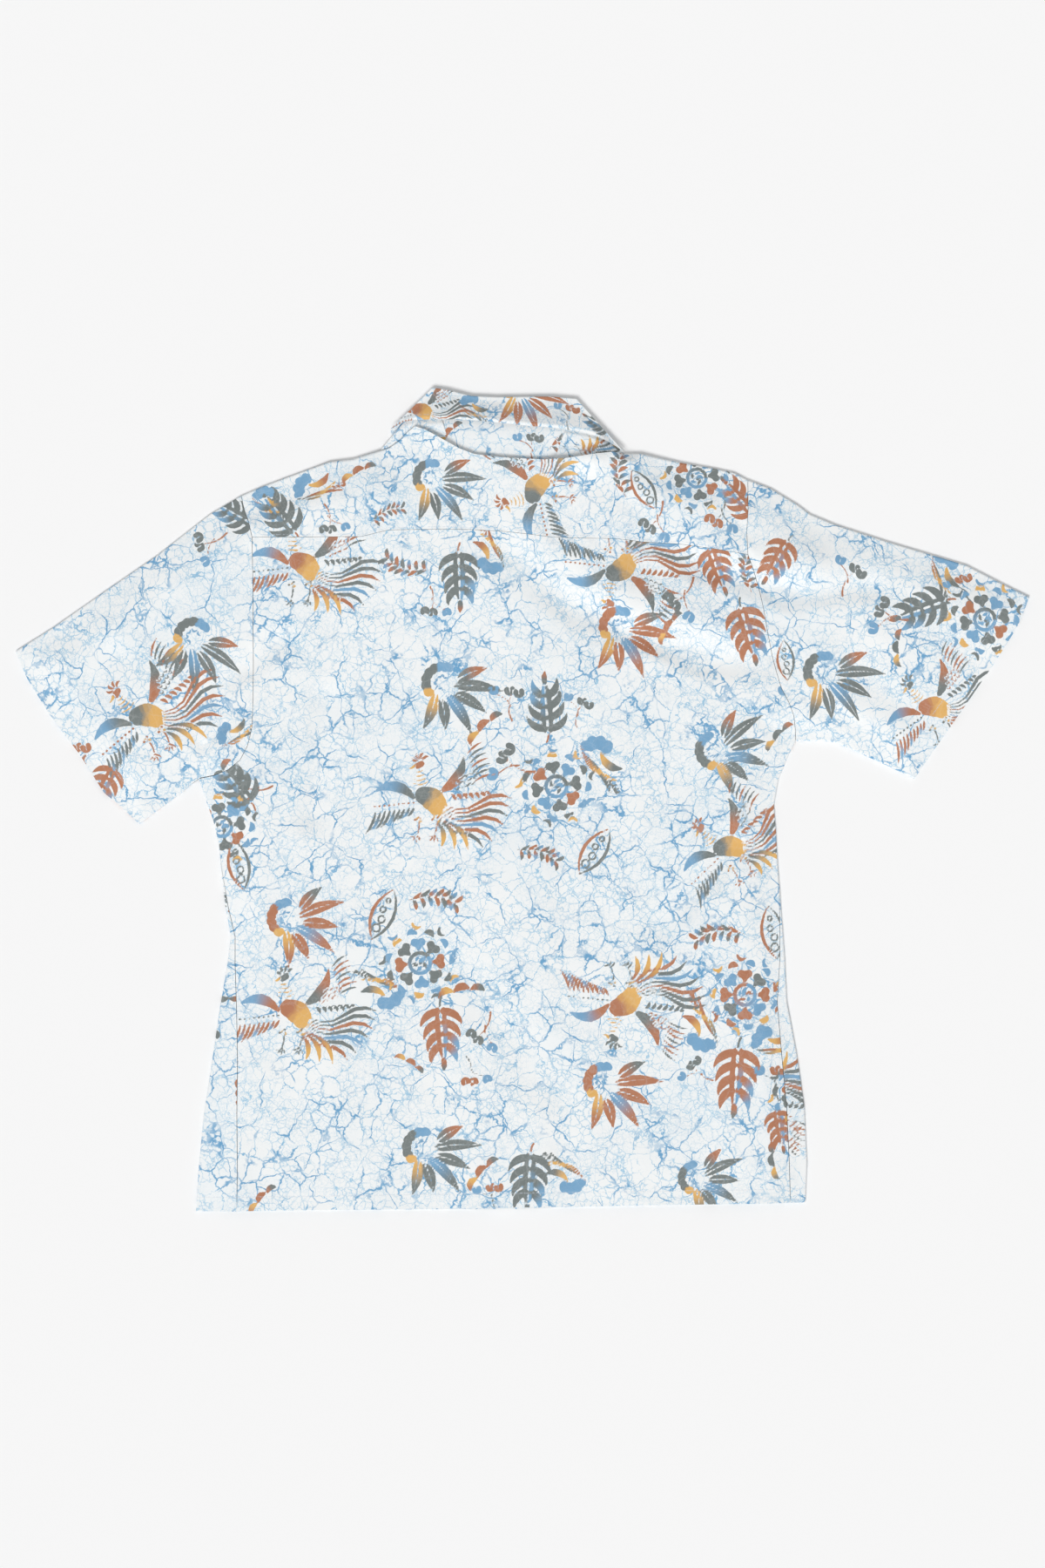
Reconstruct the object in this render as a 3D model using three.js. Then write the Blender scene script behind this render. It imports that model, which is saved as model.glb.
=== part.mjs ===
// A short-sleeved aloha shirt with an open collar, laid flat on its buttoned front, back side up.
// Millimetres. X runs across the shirt, Y from the hem to the collar, Z up from what it lies on.
import * as THREE from 'three';

const WALL = 1.1; // thickness of the cloth wall
const SEAM_HALF = 0.15; // half of the gap between two pieces along a seam
const FOLD_HALF = 0.25; // the same, for seams that run along a folded edge
const PLY_GAP = 0.3; // gap between plies that lie on each other
const EDGE_GAP = 1.2; // room between the plies at a folded edge
const NECK_GAP = 3.1; // the same beside the collar, whose plies lie in between
const NECK_CENTRE = [-18, 330]; // middle of the neck in plan
const NECK_REACH = 122; // from there to the neck points
const NECK_FADE = 80; // length over which the room falls back to EDGE_GAP
const DOME = 3.6; // how far the back rises off the front inside its edges
const EDGE_FADE = 38; // width of the slope from a folded edge up to the dome
const BACK_FLOOR = 0.15; // least rise of the back inside its edges
const CENTRE_X = -18.4; // centre front line
const MIDDLE_Y = 1; // middle of the laid shirt, set to y = 0 in the finished meshes
const LAP = 15; // each front passes the centre line by this much
const LAP_OUTER = 2; // level stretch past the lap's edge, on the outer front
const LAP_INNER = 14; // and on the inner one
const LAP_FADE = 22; // width of the slope down from the buttoned edge
const BUTTON_DIAMETER = 11.5;
const BUTTON_HEIGHT = 2;
const BUTTON_RIM = 0.5; // raised rim of a button
const RIM_TOP = 0.8; // inner edge of the rim's top and the foot of its slope, as shares
const RIM_FOOT = 0.7; // of the radius
const BUTTON_SIDES = 20;
const BUTTON_TOP_Y = 203; // first button below the neck
const BUTTON_PITCH = 88;
const BUTTON_COUNT = 6;
const COLLAR_TUCK = 3; // the back of the collar reaches under the yoke by this much
const TUCK_END = -1.5; // the same at its two ends, which stay clear of the yoke
const TUCK_START = 0.05; // share of the neckline at which the tuck begins
const TUCK_WAY = 0.08; // and over which it grows
const COLLAR_CLEAR = 1.1; // plan clearance of the front collar from the neckline
const LAP_ROOM = 1.6; // extra room under the back over the buttoned edge
const LAP_HEAD = 30; // how far above the first button it begins
const LEAF_LIFT = WALL + PLY_GAP; // the fronts lie on the collar leaves
const LEAF_MARGIN = 20; // level stretch round a collar leaf
const LEAF_FADE = 15; // slope beside a collar leaf
const LEAF_CURL = 1.5; // the free edge of the back collar stands up by this much
const LAP_LIFT = BUTTON_HEIGHT + PLY_GAP; // the lap lies on the buttons

// Folded side edges, hem to underarm. wrap: how far past the folded edge the front reaches
// round on to the back; centreY: height of the same row on the centre front.
// [leftX, leftY, leftWrap, rightX, rightY, rightWrap, centreY]
const SIDES = [
  [-300, -377, 39, 260, -369, 15, -375],
  [-297.5, -337, 37, 261.5, -333, 17.5, -335],
  [-293, -289, 32, 259, -281, 17.5, -287],
  [-285.5, -241, 25, 252, -233, 15, -239],
  [-278.5, -193, 17, 243, -185, 10, -191],
  [-271, -149, 8, 241, -145, 5.5, -147],
  [-268, -125, 5, 239, -117, 3.5, -121],
  [-273, -97, 3.5, 237, -89, 2, -93.5],
  [-277, -65, 2, 234.5, -57, 1, -63],
  [-279, -41, 1, 233, -29, 0, -37],
  [-284, -19, 0, 231, -5, 0, -13],
  [-290.5, -1, 0, 235, 18.5, 0, 5.5],
  [-295, 13.5, 0, 242.5, 37, 0, 17],
  [-297.5, 20, 0, 251, 54.5, 0, 23],
];

// Armhole seams from the row above the underarm to the shoulder.
// [leftX, leftY, rightX, rightY, centreY]
const ARMHOLES = [
  [-283, 23, 250.5, 65, 31],
  [-270.5, 28, 249, 77.5, 41],
  [-259, 37, 244, 90.5, 50.5],
  [-252, 50.5, 237.5, 103, 61.5],
  [-248, 67, 233, 117.5, 75],
  [-247, 95, 229, 133.5, 95],
  [-247, 127, 225, 153, 119],
  [-247, 159, 221.5, 173.5, 141.5],
  [-247, 191, 217, 194.5, 163],
  [-247.5, 217, 212, 211, 180],
  [-248, 241.5, 206.5, 225.5, 194.5],
  [-251, 255, 205.5, 247, 204],
  [-256, 269, 207, 267, 213.5],
  [-258.5, 280, 207, 294.5, 223],
];
const YOKE_ROW = 10; // the row of ARMHOLES that the yoke seam meets
const NECK_PULL_ROW = 5; // above this row the rows of a front bend towards its upper edge

// Yoke seam and the yoke's upper edge, [x, y] from left to right.
const YOKE_SEAM = [
  [-248, 241.5], [-145, 242], [-123, 248], [-62.5, 249], [-21, 247], [9.5, 245], [27, 241],
  [87, 240], [112, 237], [150.5, 235], [206.5, 225.5],
];
const YOKE_TOP = [
  [-258.5, 280], [-240, 288], [-216, 297], [-177.5, 311], [-156, 313.5], [-131, 321],
  [-121, 324], [-113, 329.5], [-105.5, 337.5], [-98.5, 343], [-89.5, 340], [-77.5, 333.5],
  [-57.5, 322.5], [-44, 317.5], [-20, 314.5], [20, 312.5], [40, 313.5], [64, 317],
  [82.5, 319.5], [93.5, 318.5], [108, 318.5], [144, 310.5], [176, 305], [194.5, 301],
  [207, 294.5],
];
const NECK_LEFT = 5; // rows of YOKE_TOP at the neck points
const NECK_RIGHT = 19;

// Upper edge of each front from the centre, down the neckline and along the shoulder.
// share: place of the same column across the hem, 0 at the centre front and 1 at the side.
// [leftX, leftY, rightX, rightY, share]
const FRONT_TOP = [
  [-3, 223, -33.5, 223, 0],
  [-44, 231, 7, 230.5, 0.05],
  [-76, 244, 39, 242.5, 0.1],
  [-102.5, 261.5, 65.5, 260, 0.17],
  [-118.5, 282.5, 81.5, 281, 0.26],
  [-127, 303, 90.5, 301.5, 0.37],
  [-131, 321, 93.5, 318.5, 0.48],
  [-164, 312, 121.5, 315, 0.61],
  [-196, 303, 149.5, 309.5, 0.74],
  [-228, 292, 180, 304, 0.87],
  [-258.5, 280, 207, 294.5, 1],
];
const FRONT_NECK = 6; // the row of FRONT_TOP at the neck point

// Sleeve edges, [x, y] from the armhole out, and the cuffs from top to bottom.
// closed: rows of the armhole next to the underarm along which the two layers are joined.
const SLEEVES = {
  left: {
    closed: 1,
    top: [[-258.5, 280], [-288, 262.5], [-336, 225], [-384, 192], [-432, 158.5], [-465.5, 137.5]],
    low: [[-297.5, 20], [-312, 8], [-336, -9.5], [-352, -21.5]],
    cuff: [
      [-465.5, 137.5], [-456, 113.5], [-432, 75], [-408, 44], [-384, 6.5], [-372, -3],
      [-352, -21.5],
    ],
  },
  right: {
    closed: 0,
    top: [
      [207, 294.5], [228, 286.5], [252, 272], [264, 263], [288, 253], [336, 237.5],
      [408, 216], [444, 197.5], [465.5, 187],
    ],
    low: [[251, 54.5], [276, 54.5], [288, 53], [324, 37], [360, 20]],
    cuff: [[465.5, 187], [456, 161.5], [432, 124], [408, 89], [384, 55], [360, 20]],
  },
};

// The collar: roll line and free edge of its back, then of its two front halves.
const COLLAR_ROLL = [
  [-82.5, 379], [-70.5, 377.5], [-47, 371.5], [-24, 370.5], [25.5, 371], [49, 369],
];
const COLLAR_FREE = [
  [-121, 341], [-109, 347.5], [-98.5, 349], [-65.5, 349], [-41, 348], [5.5, 343],
  [25.5, 341.5], [50.5, 338.5], [66.5, 334.5], [81.5, 328], [93, 320],
];
const FRONT_COLLARS = {
  left: { roll: [[-82.5, 379], [-38.5, 237.5]], free: [[-121, 341], [-121, 287], [-110.5, 219]] },
  right: { roll: [[49, 369], [1.5, 237.5]], free: [[93, 320], [85.5, 279], [73.5, 219]] },
};

// Largest soft folds of the back and sleeves. [x0, y0, x1, y1, rise, halfWidth]
const FOLDS = [
  [-6.5, 220, 64, 162.5, -3.0, 19],
  [64, 162.5, 160, 130.5, -3.2, 18],
  [160, 130.5, 227, 124, -2.2, 17],
  [10, 236, 92, 190, 1.8, 18],
  [92, 190, 190, 158, 1.8, 18],
  [115, 239, 160, 213.5, -1.8, 15],
  [160, 213.5, 243, 188, -2.6, 15],
  [243, 188, 320, 194.5, -2.4, 15],
  [178, 232, 262, 214, 1.6, 15],
  [-224, 143, -313.5, 79, -2.2, 17],
  [-280, 83, -294.5, 55, -2.6, 12],
  [192, -49, 134.5, -113, -2.4, 20],
  [-173, 290.5, -249.5, 265, -2.2, 16],
  [-179, 92, -192, -10.5, -2.0, 15],
  [-377.5, 130.5, -416, 66.5, -2.2, 16],
  [300, 120, 372, 66, -1.8, 18],
  [-60, -150, 20, -260, -1.4, 22],
];

const BEND_STEPS = 3; // steps of a panel round half a folded edge
const BEND_LEAD = 0.6; // first step past the bend
const ROW_LIMIT = 22; // rows of the back further apart than this get one between them
const PULL_Y = 150; // above this height the rows of the back follow the yoke seam
const END_SPREAD = 0.12; // share of the yoke's width that follows the armhole's curve
const YOKE_STEPS = 6;
const SLEEVE_STEPS = 10;
const UNDERARM_WAY = [-0.7, 0.7]; // way out of the body at the left underarm
const UNDERARM_CLEAR = 0.5;
const ROLL_STEPS = 4;
const LEG_STEPS = 4;
const clamp = (value) => Math.min(1, Math.max(0, value));
const smooth = (value) => clamp(value) ** 2 * (3 - 2 * clamp(value));
const mix = (a, b, share) => a + (b - a) * share;
const mixPoint = (a, b, share) => [mix(a[0], b[0], share), mix(a[1], b[1], share)];
const step = (point, way, length) => [point[0] + way[0] * length, point[1] + way[1] * length];

function unit(from, to) {
  const length = Math.hypot(to[0] - from[0], to[1] - from[1]);
  return [(to[0] - from[0]) / length, (to[1] - from[1]) / length];
}

// Distance from a point to a segment, in plan.
function segmentDistance(x, y, a, b) {
  const dx = b[0] - a[0];
  const dy = b[1] - a[1];
  const share = clamp(((x - a[0]) * dx + (y - a[1]) * dy) / (dx * dx + dy * dy));
  return Math.hypot(x - a[0] - dx * share, y - a[1] - dy * share);
}

const distance = (a, b) => Math.hypot(b[0] - a[0], b[1] - a[1]);
const segments = (points) => points.slice(1).map((point, i) => distance(points[i], point));
const total = (lengths) => lengths.reduce((sum, length) => sum + length, 0);

// Point at a share of a polyline's length.
function along(points, share) {
  const lengths = segments(points);
  let left = share * total(lengths);
  for (let i = 0; i < lengths.length; i += 1) {
    if (left <= lengths[i] || i === lengths.length - 1) {
      return mixPoint(points[i], points[i + 1], Math.min(1, left / lengths[i]));
    }
    left -= lengths[i];
  }
  return points[points.length - 1];
}

// Height of a left-to-right polyline at x.
function heightAt(points, x) {
  const last = points.length - 2;
  let i = 0;
  while (i < last && x > points[i + 1][0]) {
    i += 1;
  }
  const [a, b] = [points[i], points[i + 1]];
  return mix(a[1], b[1], (x - a[0]) / (b[0] - a[0]));
}

// The shirt's outline in plan, from the left hem corner round to the right one.
const OUTLINE = [
  ...SIDES.map((row) => [row[0], row[1]]),
  ...SLEEVES.left.low.slice(1),
  ...SLEEVES.left.cuff.slice(0, -1).reverse(),
  ...SLEEVES.left.top.slice(0, -1).reverse(),
  ...YOKE_TOP.slice(1, NECK_LEFT + 1),
  COLLAR_FREE[0],
  ...COLLAR_ROLL,
  ...YOKE_TOP.slice(NECK_RIGHT, -1),
  ...SLEEVES.right.top,
  ...SLEEVES.right.cuff.slice(1),
  ...SLEEVES.right.low.slice(0, -1).reverse(),
  ...SIDES.slice(0, -1).reverse().map((row) => [row[3], row[4]]),
];

function edgeDistance(x, y) {
  let nearest = Infinity;
  for (let i = 0; i < OUTLINE.length - 1; i += 1) {
    nearest = Math.min(nearest, segmentDistance(x, y, OUTLINE[i], OUTLINE[i + 1]));
  }
  return nearest;
}

// Rise of the back over its folded edges: a low dome with the soft folds in it.
function relief(x, y) {
  let rise = DOME;
  for (const [x0, y0, x1, y1, height, halfWidth] of FOLDS) {
    const away = segmentDistance(x, y, [x0, y0], [x1, y1]) / halfWidth;
    rise += height * Math.exp(-away * away);
  }
  return Math.max(BACK_FLOOR, rise) * smooth(edgeDistance(x, y) / EDGE_FADE);
}

function foldGap(x, y) {
  const away = Math.hypot(x - NECK_CENTRE[0], y - NECK_CENTRE[1]) - NECK_REACH;
  return mix(NECK_GAP, EDGE_GAP, smooth(away / NECK_FADE));
}

// Extra room over the buttoned edge, so that the back clears it.
function lapRoom(x, y) {
  const across = 1 - smooth((Math.abs(x - CENTRE_X) - LAP - LAP_FADE) / LAP_FADE);
  const down = smooth((BUTTON_TOP_Y + LAP_HEAD - y) / LAP_FADE);
  return LAP_ROOM * across * down;
}

// Underside of the back at a point.
const backBottom = (x, y) => WALL + foldGap(x, y) + relief(x, y) + lapRoom(x, y);

const LEAVES = ['left', 'right'].map((side) => {
  const { roll, free } = FRONT_COLLARS[side];
  return [...roll, ...[...free].reverse()];
});

function leafDistance(x, y) {
  let nearest = Infinity;
  for (const leaf of LEAVES) {
    let inside = false;
    for (let i = 0; i < leaf.length; i += 1) {
      const a = leaf[i];
      const b = leaf[(i + 1) % leaf.length];
      nearest = Math.min(nearest, segmentDistance(x, y, a, b));
      if ((a[1] > y) !== (b[1] > y) && x < a[0] + (b[0] - a[0]) * (y - a[1]) / (b[1] - a[1])) {
        inside = !inside;
      }
    }
    if (inside) {
      return 0;
    }
  }
  return nearest;
}

// Underside of a front at a point; the inner front lies on the outer one along the lap.
function frontBottom(x, y, inner) {
  const reach = Math.abs(x - CENTRE_X) - LAP - (inner ? LAP_INNER : LAP_OUTER);
  const lap = (LAP_LIFT + (inner ? WALL + PLY_GAP : 0)) * (1 - smooth(reach / LAP_FADE));
  const leaf = LEAF_LIFT * (1 - smooth((leafDistance(x, y) - LEAF_MARGIN) / LEAF_FADE));
  return Math.max(lap, leaf);
}

// A wall point as a pair: outer side first, inner side second.
function backPoint(point) {
  const low = backBottom(...point);
  return [[...point, low + WALL], [...point, low]];
}

function frontPoint(point, inner) {
  const low = frontBottom(...point, inner);
  return [[...point, low], [...point, low + WALL]];
}

const foldRadius = (edge) => (backBottom(...edge) + WALL - frontBottom(...edge, false)) / 2;
const quarterPath = (edge) => foldRadius(edge) * Math.PI / 2;

// Wall point on a folded edge. path runs from the fold's middle: back above 0, front below.
function foldPoint(edge, inward, path, inner) {
  const radius = foldRadius(edge);
  const quarter = quarterPath(edge);
  if (Math.abs(path) > quarter) {
    const spot = step(edge, inward, radius + Math.abs(path) - quarter);
    return path > 0 ? backPoint(spot) : frontPoint(spot, inner);
  }
  const turn = path / radius;
  const middle = frontBottom(...edge, false) + radius;
  const round = (r) => [
    ...step(edge, inward, radius - r * Math.cos(turn)),
    middle + r * Math.sin(turn),
  ];
  return [round(radius), round(radius - WALL)];
}

// Plan distance from a folded edge to a place along the path over it.
const pathReach = (edge, path) => foldRadius(edge) + Math.max(0, path - quarterPath(edge));

// Armhole points moved off the seam, from the row above the underarm to the shoulder.
function armhole(side, offset) {
  const at = side === 'left' ? 0 : 2;
  const sign = side === 'left' ? -1 : 1;
  const under = side === 'left' ? 0 : 3;
  const corner = SIDES[SIDES.length - 1].slice(under, under + 2);
  const seam = [corner, ...ARMHOLES.map((row) => row.slice(at, at + 2))];
  return seam.map((point, i) => {
    const before = seam[Math.max(0, i - 1)];
    const after = seam[Math.min(seam.length - 1, i + 1)];
    const way = unit(before, after);
    return [point[0] + sign * way[1] * offset, point[1] - sign * way[0] * offset];
  });
}

// One closed body from a grid of wall points. ring: the columns close on themselves.
function wallMesh(name, grid, material, ring) {
  const rows = grid.length;
  const columns = grid[0].length;
  const positions = [];
  const index = [];
  for (const skin of [0, 1]) {
    for (const row of grid) {
      for (const pair of row) {
        positions.push(...pair[skin]);
      }
    }
  }
  const at = (skin, i, j) => skin * rows * columns + i * columns + (j % columns);
  const quad = (a, b, c, d) => index.push(a, b, c, a, c, d);
  const lastColumn = ring ? columns : columns - 1;
  for (let i = 0; i < rows - 1; i += 1) {
    for (let j = 0; j < lastColumn; j += 1) {
      quad(at(0, i, j), at(0, i, j + 1), at(0, i + 1, j + 1), at(0, i + 1, j));
      quad(at(1, i, j), at(1, i + 1, j), at(1, i + 1, j + 1), at(1, i, j + 1));
    }
  }
  for (let j = 0; j < lastColumn; j += 1) {
    quad(at(0, 0, j), at(1, 0, j), at(1, 0, j + 1), at(0, 0, j + 1));
    quad(at(0, rows - 1, j), at(0, rows - 1, j + 1), at(1, rows - 1, j + 1), at(1, rows - 1, j));
  }
  if (!ring) {
    for (let i = 0; i < rows - 1; i += 1) {
      quad(at(0, i, 0), at(0, i + 1, 0), at(1, i + 1, 0), at(1, i, 0));
      const j = columns - 1;
      quad(at(0, i, j), at(1, i, j), at(1, i + 1, j), at(0, i + 1, j));
    }
  }
  return closedMesh(name, positions, index, material);
}

// Mesh with its faces turned outward.
function closedMesh(name, positions, index, material) {
  let volume = 0;
  for (let k = 0; k < index.length; k += 3) {
    const corner = (n) => new THREE.Vector3().fromArray(positions, index[k + n] * 3);
    const [a, b, c] = [corner(0), corner(1), corner(2)];
    volume += a.dot(b.cross(c));
  }
  if (volume < 0) {
    index.reverse();
  }
  const geometry = new THREE.BufferGeometry();
  geometry.setAttribute('position', new THREE.Float32BufferAttribute(positions, 3));
  geometry.setIndex(index);
  geometry.translate(0, -MIDDLE_Y, 0);
  geometry.computeVertexNormals();
  const mesh = new THREE.Mesh(geometry, material);
  mesh.name = name;
  return mesh;
}

const cloth = (name, color) => {
  const material = new THREE.MeshStandardMaterial({ color, roughness: 0.85, metalness: 0 });
  material.name = name;
  return material;
};
const PRINTED = cloth('printed_cotton', 0xe2e7ee);
const SHELL = cloth('button_resin', 0xe9e4d8);

// Rows of the back: both ends, whether they are folded edges, and the wrap of the front.
function backRows() {
  const left = armhole('left', -SEAM_HALF);
  const right = armhole('right', -SEAM_HALF);
  const rows = SIDES.map(([lx, ly, lw, rx, ry, rw]) => ({
    left: [lx, ly], right: [rx, ry], wraps: [lw, rw], folded: true,
  }));
  for (let i = 0; i <= YOKE_ROW; i += 1) {
    rows.push({ left: left[i + 1], right: right[i + 1], wraps: [0, 0], folded: false });
  }
  return rows;
}

// Rows with a middle one wherever two neighbours above the underarm are far apart.
function refineRows(rows, limit) {
  const out = [rows[0]];
  for (let i = 1; i < rows.length; i += 1) {
    const [a, b] = [rows[i - 1], rows[i]];
    if (!a.folded && !b.folded && b.left[1] - a.left[1] > limit) {
      out.push({
        left: mixPoint(a.left, b.left, 0.5),
        right: mixPoint(a.right, b.right, 0.5),
        wraps: [mix(a.wraps[0], b.wraps[0], 0.5), mix(a.wraps[1], b.wraps[1], 0.5)],
        folded: a.folded,
      });
    }
    out.push(b);
  }
  return out;
}

// Columns of the back and the yoke, as shares of the width, and where they meet the yoke seam.
const [YOKE_START, YOKE_END] = [YOKE_TOP[0][0], YOKE_TOP[YOKE_TOP.length - 1][0]];
const [SEAM_START, SEAM_END] = [YOKE_SEAM[0][0], YOKE_SEAM[YOKE_SEAM.length - 1][0]];
const SHARES = YOKE_TOP.map(([x]) => (x - YOKE_START) / (YOKE_END - YOKE_START));
const SEAM_X = SHARES.map((share) => mix(SEAM_START, SEAM_END, share));

function makeBack() {
  const seamLeft = YOKE_SEAM[0];
  const seamRight = YOKE_SEAM[YOKE_SEAM.length - 1];
  const rows = refineRows(backRows(), ROW_LIMIT);
  const grid = rows.map((row) => {
    const ways = [unit(row.left, row.right), unit(row.right, row.left)];
    const edges = [row.left, row.right];
    const starts = edges.map((edge, n) => {
      if (!row.folded) {
        return BEND_STEPS * BEND_LEAD;
      }
      return Math.max(row.wraps[n] + FOLD_HALF + BEND_LEAD, quarterPath(edge) + BEND_LEAD);
    });
    const pull = smooth((row.left[1] - PULL_Y) / (seamLeft[1] - PULL_Y));
    const seat = ([x, y]) => {
      const chord = mix(seamLeft[1], seamRight[1], (x - SEAM_START) / (SEAM_END - SEAM_START));
      return [x, y + (heightAt(YOKE_SEAM, x) - chord - SEAM_HALF) * pull];
    };
    const bend = (n, k) => {
      if (!row.folded) {
        return backPoint(seat(step(edges[n], ways[n], starts[n] * k / BEND_STEPS)));
      }
      const from = row.wraps[n] + FOLD_HALF;
      return foldPoint(edges[n], ways[n], mix(from, starts[n], k / BEND_STEPS), false);
    };
    const ends = edges.map((edge, n) => {
      const reach = row.folded ? pathReach(edge, starts[n]) : starts[n];
      return step(edge, ways[n], reach);
    });
    const flat = SHARES.map((share, c) => {
      const point = mixPoint(ends[0], ends[1], share);
      if (c > 0 && c < SHARES.length - 1) {
        point[0] = mix(point[0], SEAM_X[c], pull);
      }
      return backPoint(seat(point));
    });
    const lead = [0, 1, 2].map((k) => bend(0, k));
    const tail = [2, 1, 0].map((k) => bend(1, k));
    return [...lead, ...flat, ...tail];
  });
  return wallMesh('back', grid, PRINTED, false);
}

function makeYoke() {
  const left = armhole('left', -SEAM_HALF).slice(YOKE_ROW + 1);
  const right = armhole('right', -SEAM_HALF).slice(YOKE_ROW + 1);
  const columns = YOKE_TOP.map((top, n) => {
    const share = SHARES[n];
    const low = [SEAM_X[n], heightAt(YOKE_SEAM, SEAM_X[n]) + SEAM_HALF];
    const folded = n <= NECK_LEFT || n >= NECK_RIGHT;
    let high = top;
    if (n === 0) {
      [low[0], high] = [left[0][0], left[left.length - 1]];
    }
    if (n === YOKE_TOP.length - 1) {
      [low[0], high] = [right[0][0], right[right.length - 1]];
    }
    const inward = unit(high, low);
    const start = folded ? pathReach(high, quarterPath(high) + BEND_LEAD) : BEND_STEPS * BEND_LEAD;
    const end = step(high, inward, start);
    const column = [];
    for (let i = 0; i <= YOKE_STEPS; i += 1) {
      const rise = i / YOKE_STEPS;
      const point = mixPoint(low, end, rise);
      for (const [seam, away] of [[left, share], [right, 1 - share]]) {
        const place = rise * (seam.length - 1);
        const row = Math.min(seam.length - 2, Math.floor(place));
        const real = mixPoint(seam[row], seam[row + 1], place - row);
        const chord = mixPoint(seam[0], seam[seam.length - 1], rise);
        const weight = rise < 1 ? clamp(1 - away / END_SPREAD) : 0;
        point[0] += (real[0] - chord[0]) * weight;
        point[1] += (real[1] - chord[1]) * weight;
      }
      column.push(backPoint(point));
    }
    for (let k = BEND_STEPS - 1; k >= 0; k -= 1) {
      if (folded) {
        const path = mix(FOLD_HALF, quarterPath(high) + BEND_LEAD, k / BEND_STEPS);
        column.push(foldPoint(high, inward, path, false));
      } else {
        column.push(backPoint(step(high, inward, start * k / BEND_STEPS)));
      }
    }
    return column;
  });
  return wallMesh('yoke', columns, PRINTED, false);
}

// A front half. inner: the one that lies on the other along the lap.
function makeFront(side, inner) {
  const at = side === 'left' ? 0 : 3;
  const seamAt = side === 'left' ? 0 : 2;
  const centreX = CENTRE_X + (inner ? -LAP : LAP);
  const body = armhole(side, -SEAM_HALF);
  const shoulder = body[body.length - 1];
  const top = FRONT_TOP.map((row) => [row[seamAt], row[seamAt + 1]]);
  const shares = FRONT_TOP.map((row) => row[4]);
  const last = shares.length - 1;
  const sideSteps = 2 * BEND_STEPS;
  const lead = sideSteps * BEND_LEAD;
  const topWay = unit(shoulder, top[last - 1]);
  top[last] = step(shoulder, topWay, lead);
  const topCentre = [centreX, ARMHOLES[ARMHOLES.length - 1][4]];
  const grid = SIDES.map((row) => {
    const edge = [row[at], row[at + 1]];
    const way = unit(edge, [centreX, row[6]]);
    const end = row[at + 2] - FOLD_HALF;
    const quarter = quarterPath(edge);
    const bent = Math.min(quarter, end - 1);
    const first = step(edge, way, foldRadius(edge) + BEND_LEAD);
    const centre = [centreX, row[6]];
    const floor = shares.map((share) => frontPoint(mixPoint(centre, first, share), inner));
    const wrap = [1, 2, 3, 4].map((k) => mix(-quarter - BEND_LEAD, bent, k / 4));
    wrap.push((bent + end) / 2, end);
    return [...floor, ...wrap.map((path) => foldPoint(edge, way, path, inner))];
  });
  const plan = ARMHOLES.slice(0, -1).map((row, i) => {
    const edge = body[i + 1];
    const centre = [centreX, row[4]];
    const way = unit(edge, centre);
    const first = step(edge, way, lead);
    const pull = Math.max(0, (i - NECK_PULL_ROW) / (ARMHOLES.length - 1 - NECK_PULL_ROW)) ** 2;
    const floor = shares.map((share, c) => {
      const point = mixPoint(centre, first, share);
      const chord = mixPoint(topCentre, top[last], share);
      return [
        point[0] + (top[c][0] - chord[0]) * pull,
        point[1] + (top[c][1] - chord[1]) * pull,
      ];
    });
    for (let k = 1; k <= sideSteps; k += 1) {
      floor.push(step(edge, way, lead * (1 - k / sideSteps)));
    }
    return floor;
  });
  grid.push(...plan.map((row) => row.map((point) => frontPoint(point, inner))));
  const below = plan[plan.length - 1];
  const rim = [...top];
  for (let k = 1; k <= sideSteps; k += 1) {
    rim.push(step(shoulder, topWay, lead * (1 - k / sideSteps)));
  }
  for (let k = 0; k <= BEND_STEPS; k += 1) {
    grid.push(rim.map((edge, c) => {
      const inward = unit(edge, below[c]);
      if (c < FRONT_NECK) {
        return frontPoint(step(edge, inward, BEND_LEAD * (BEND_STEPS - k)), inner);
      }
      const path = mix(quarterPath(edge) + BEND_LEAD, FOLD_HALF, k / BEND_STEPS);
      return foldPoint(edge, inward, -path, inner);
    }));
  }
  return wallMesh(`front_${side}`, grid, PRINTED, false);
}

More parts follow.
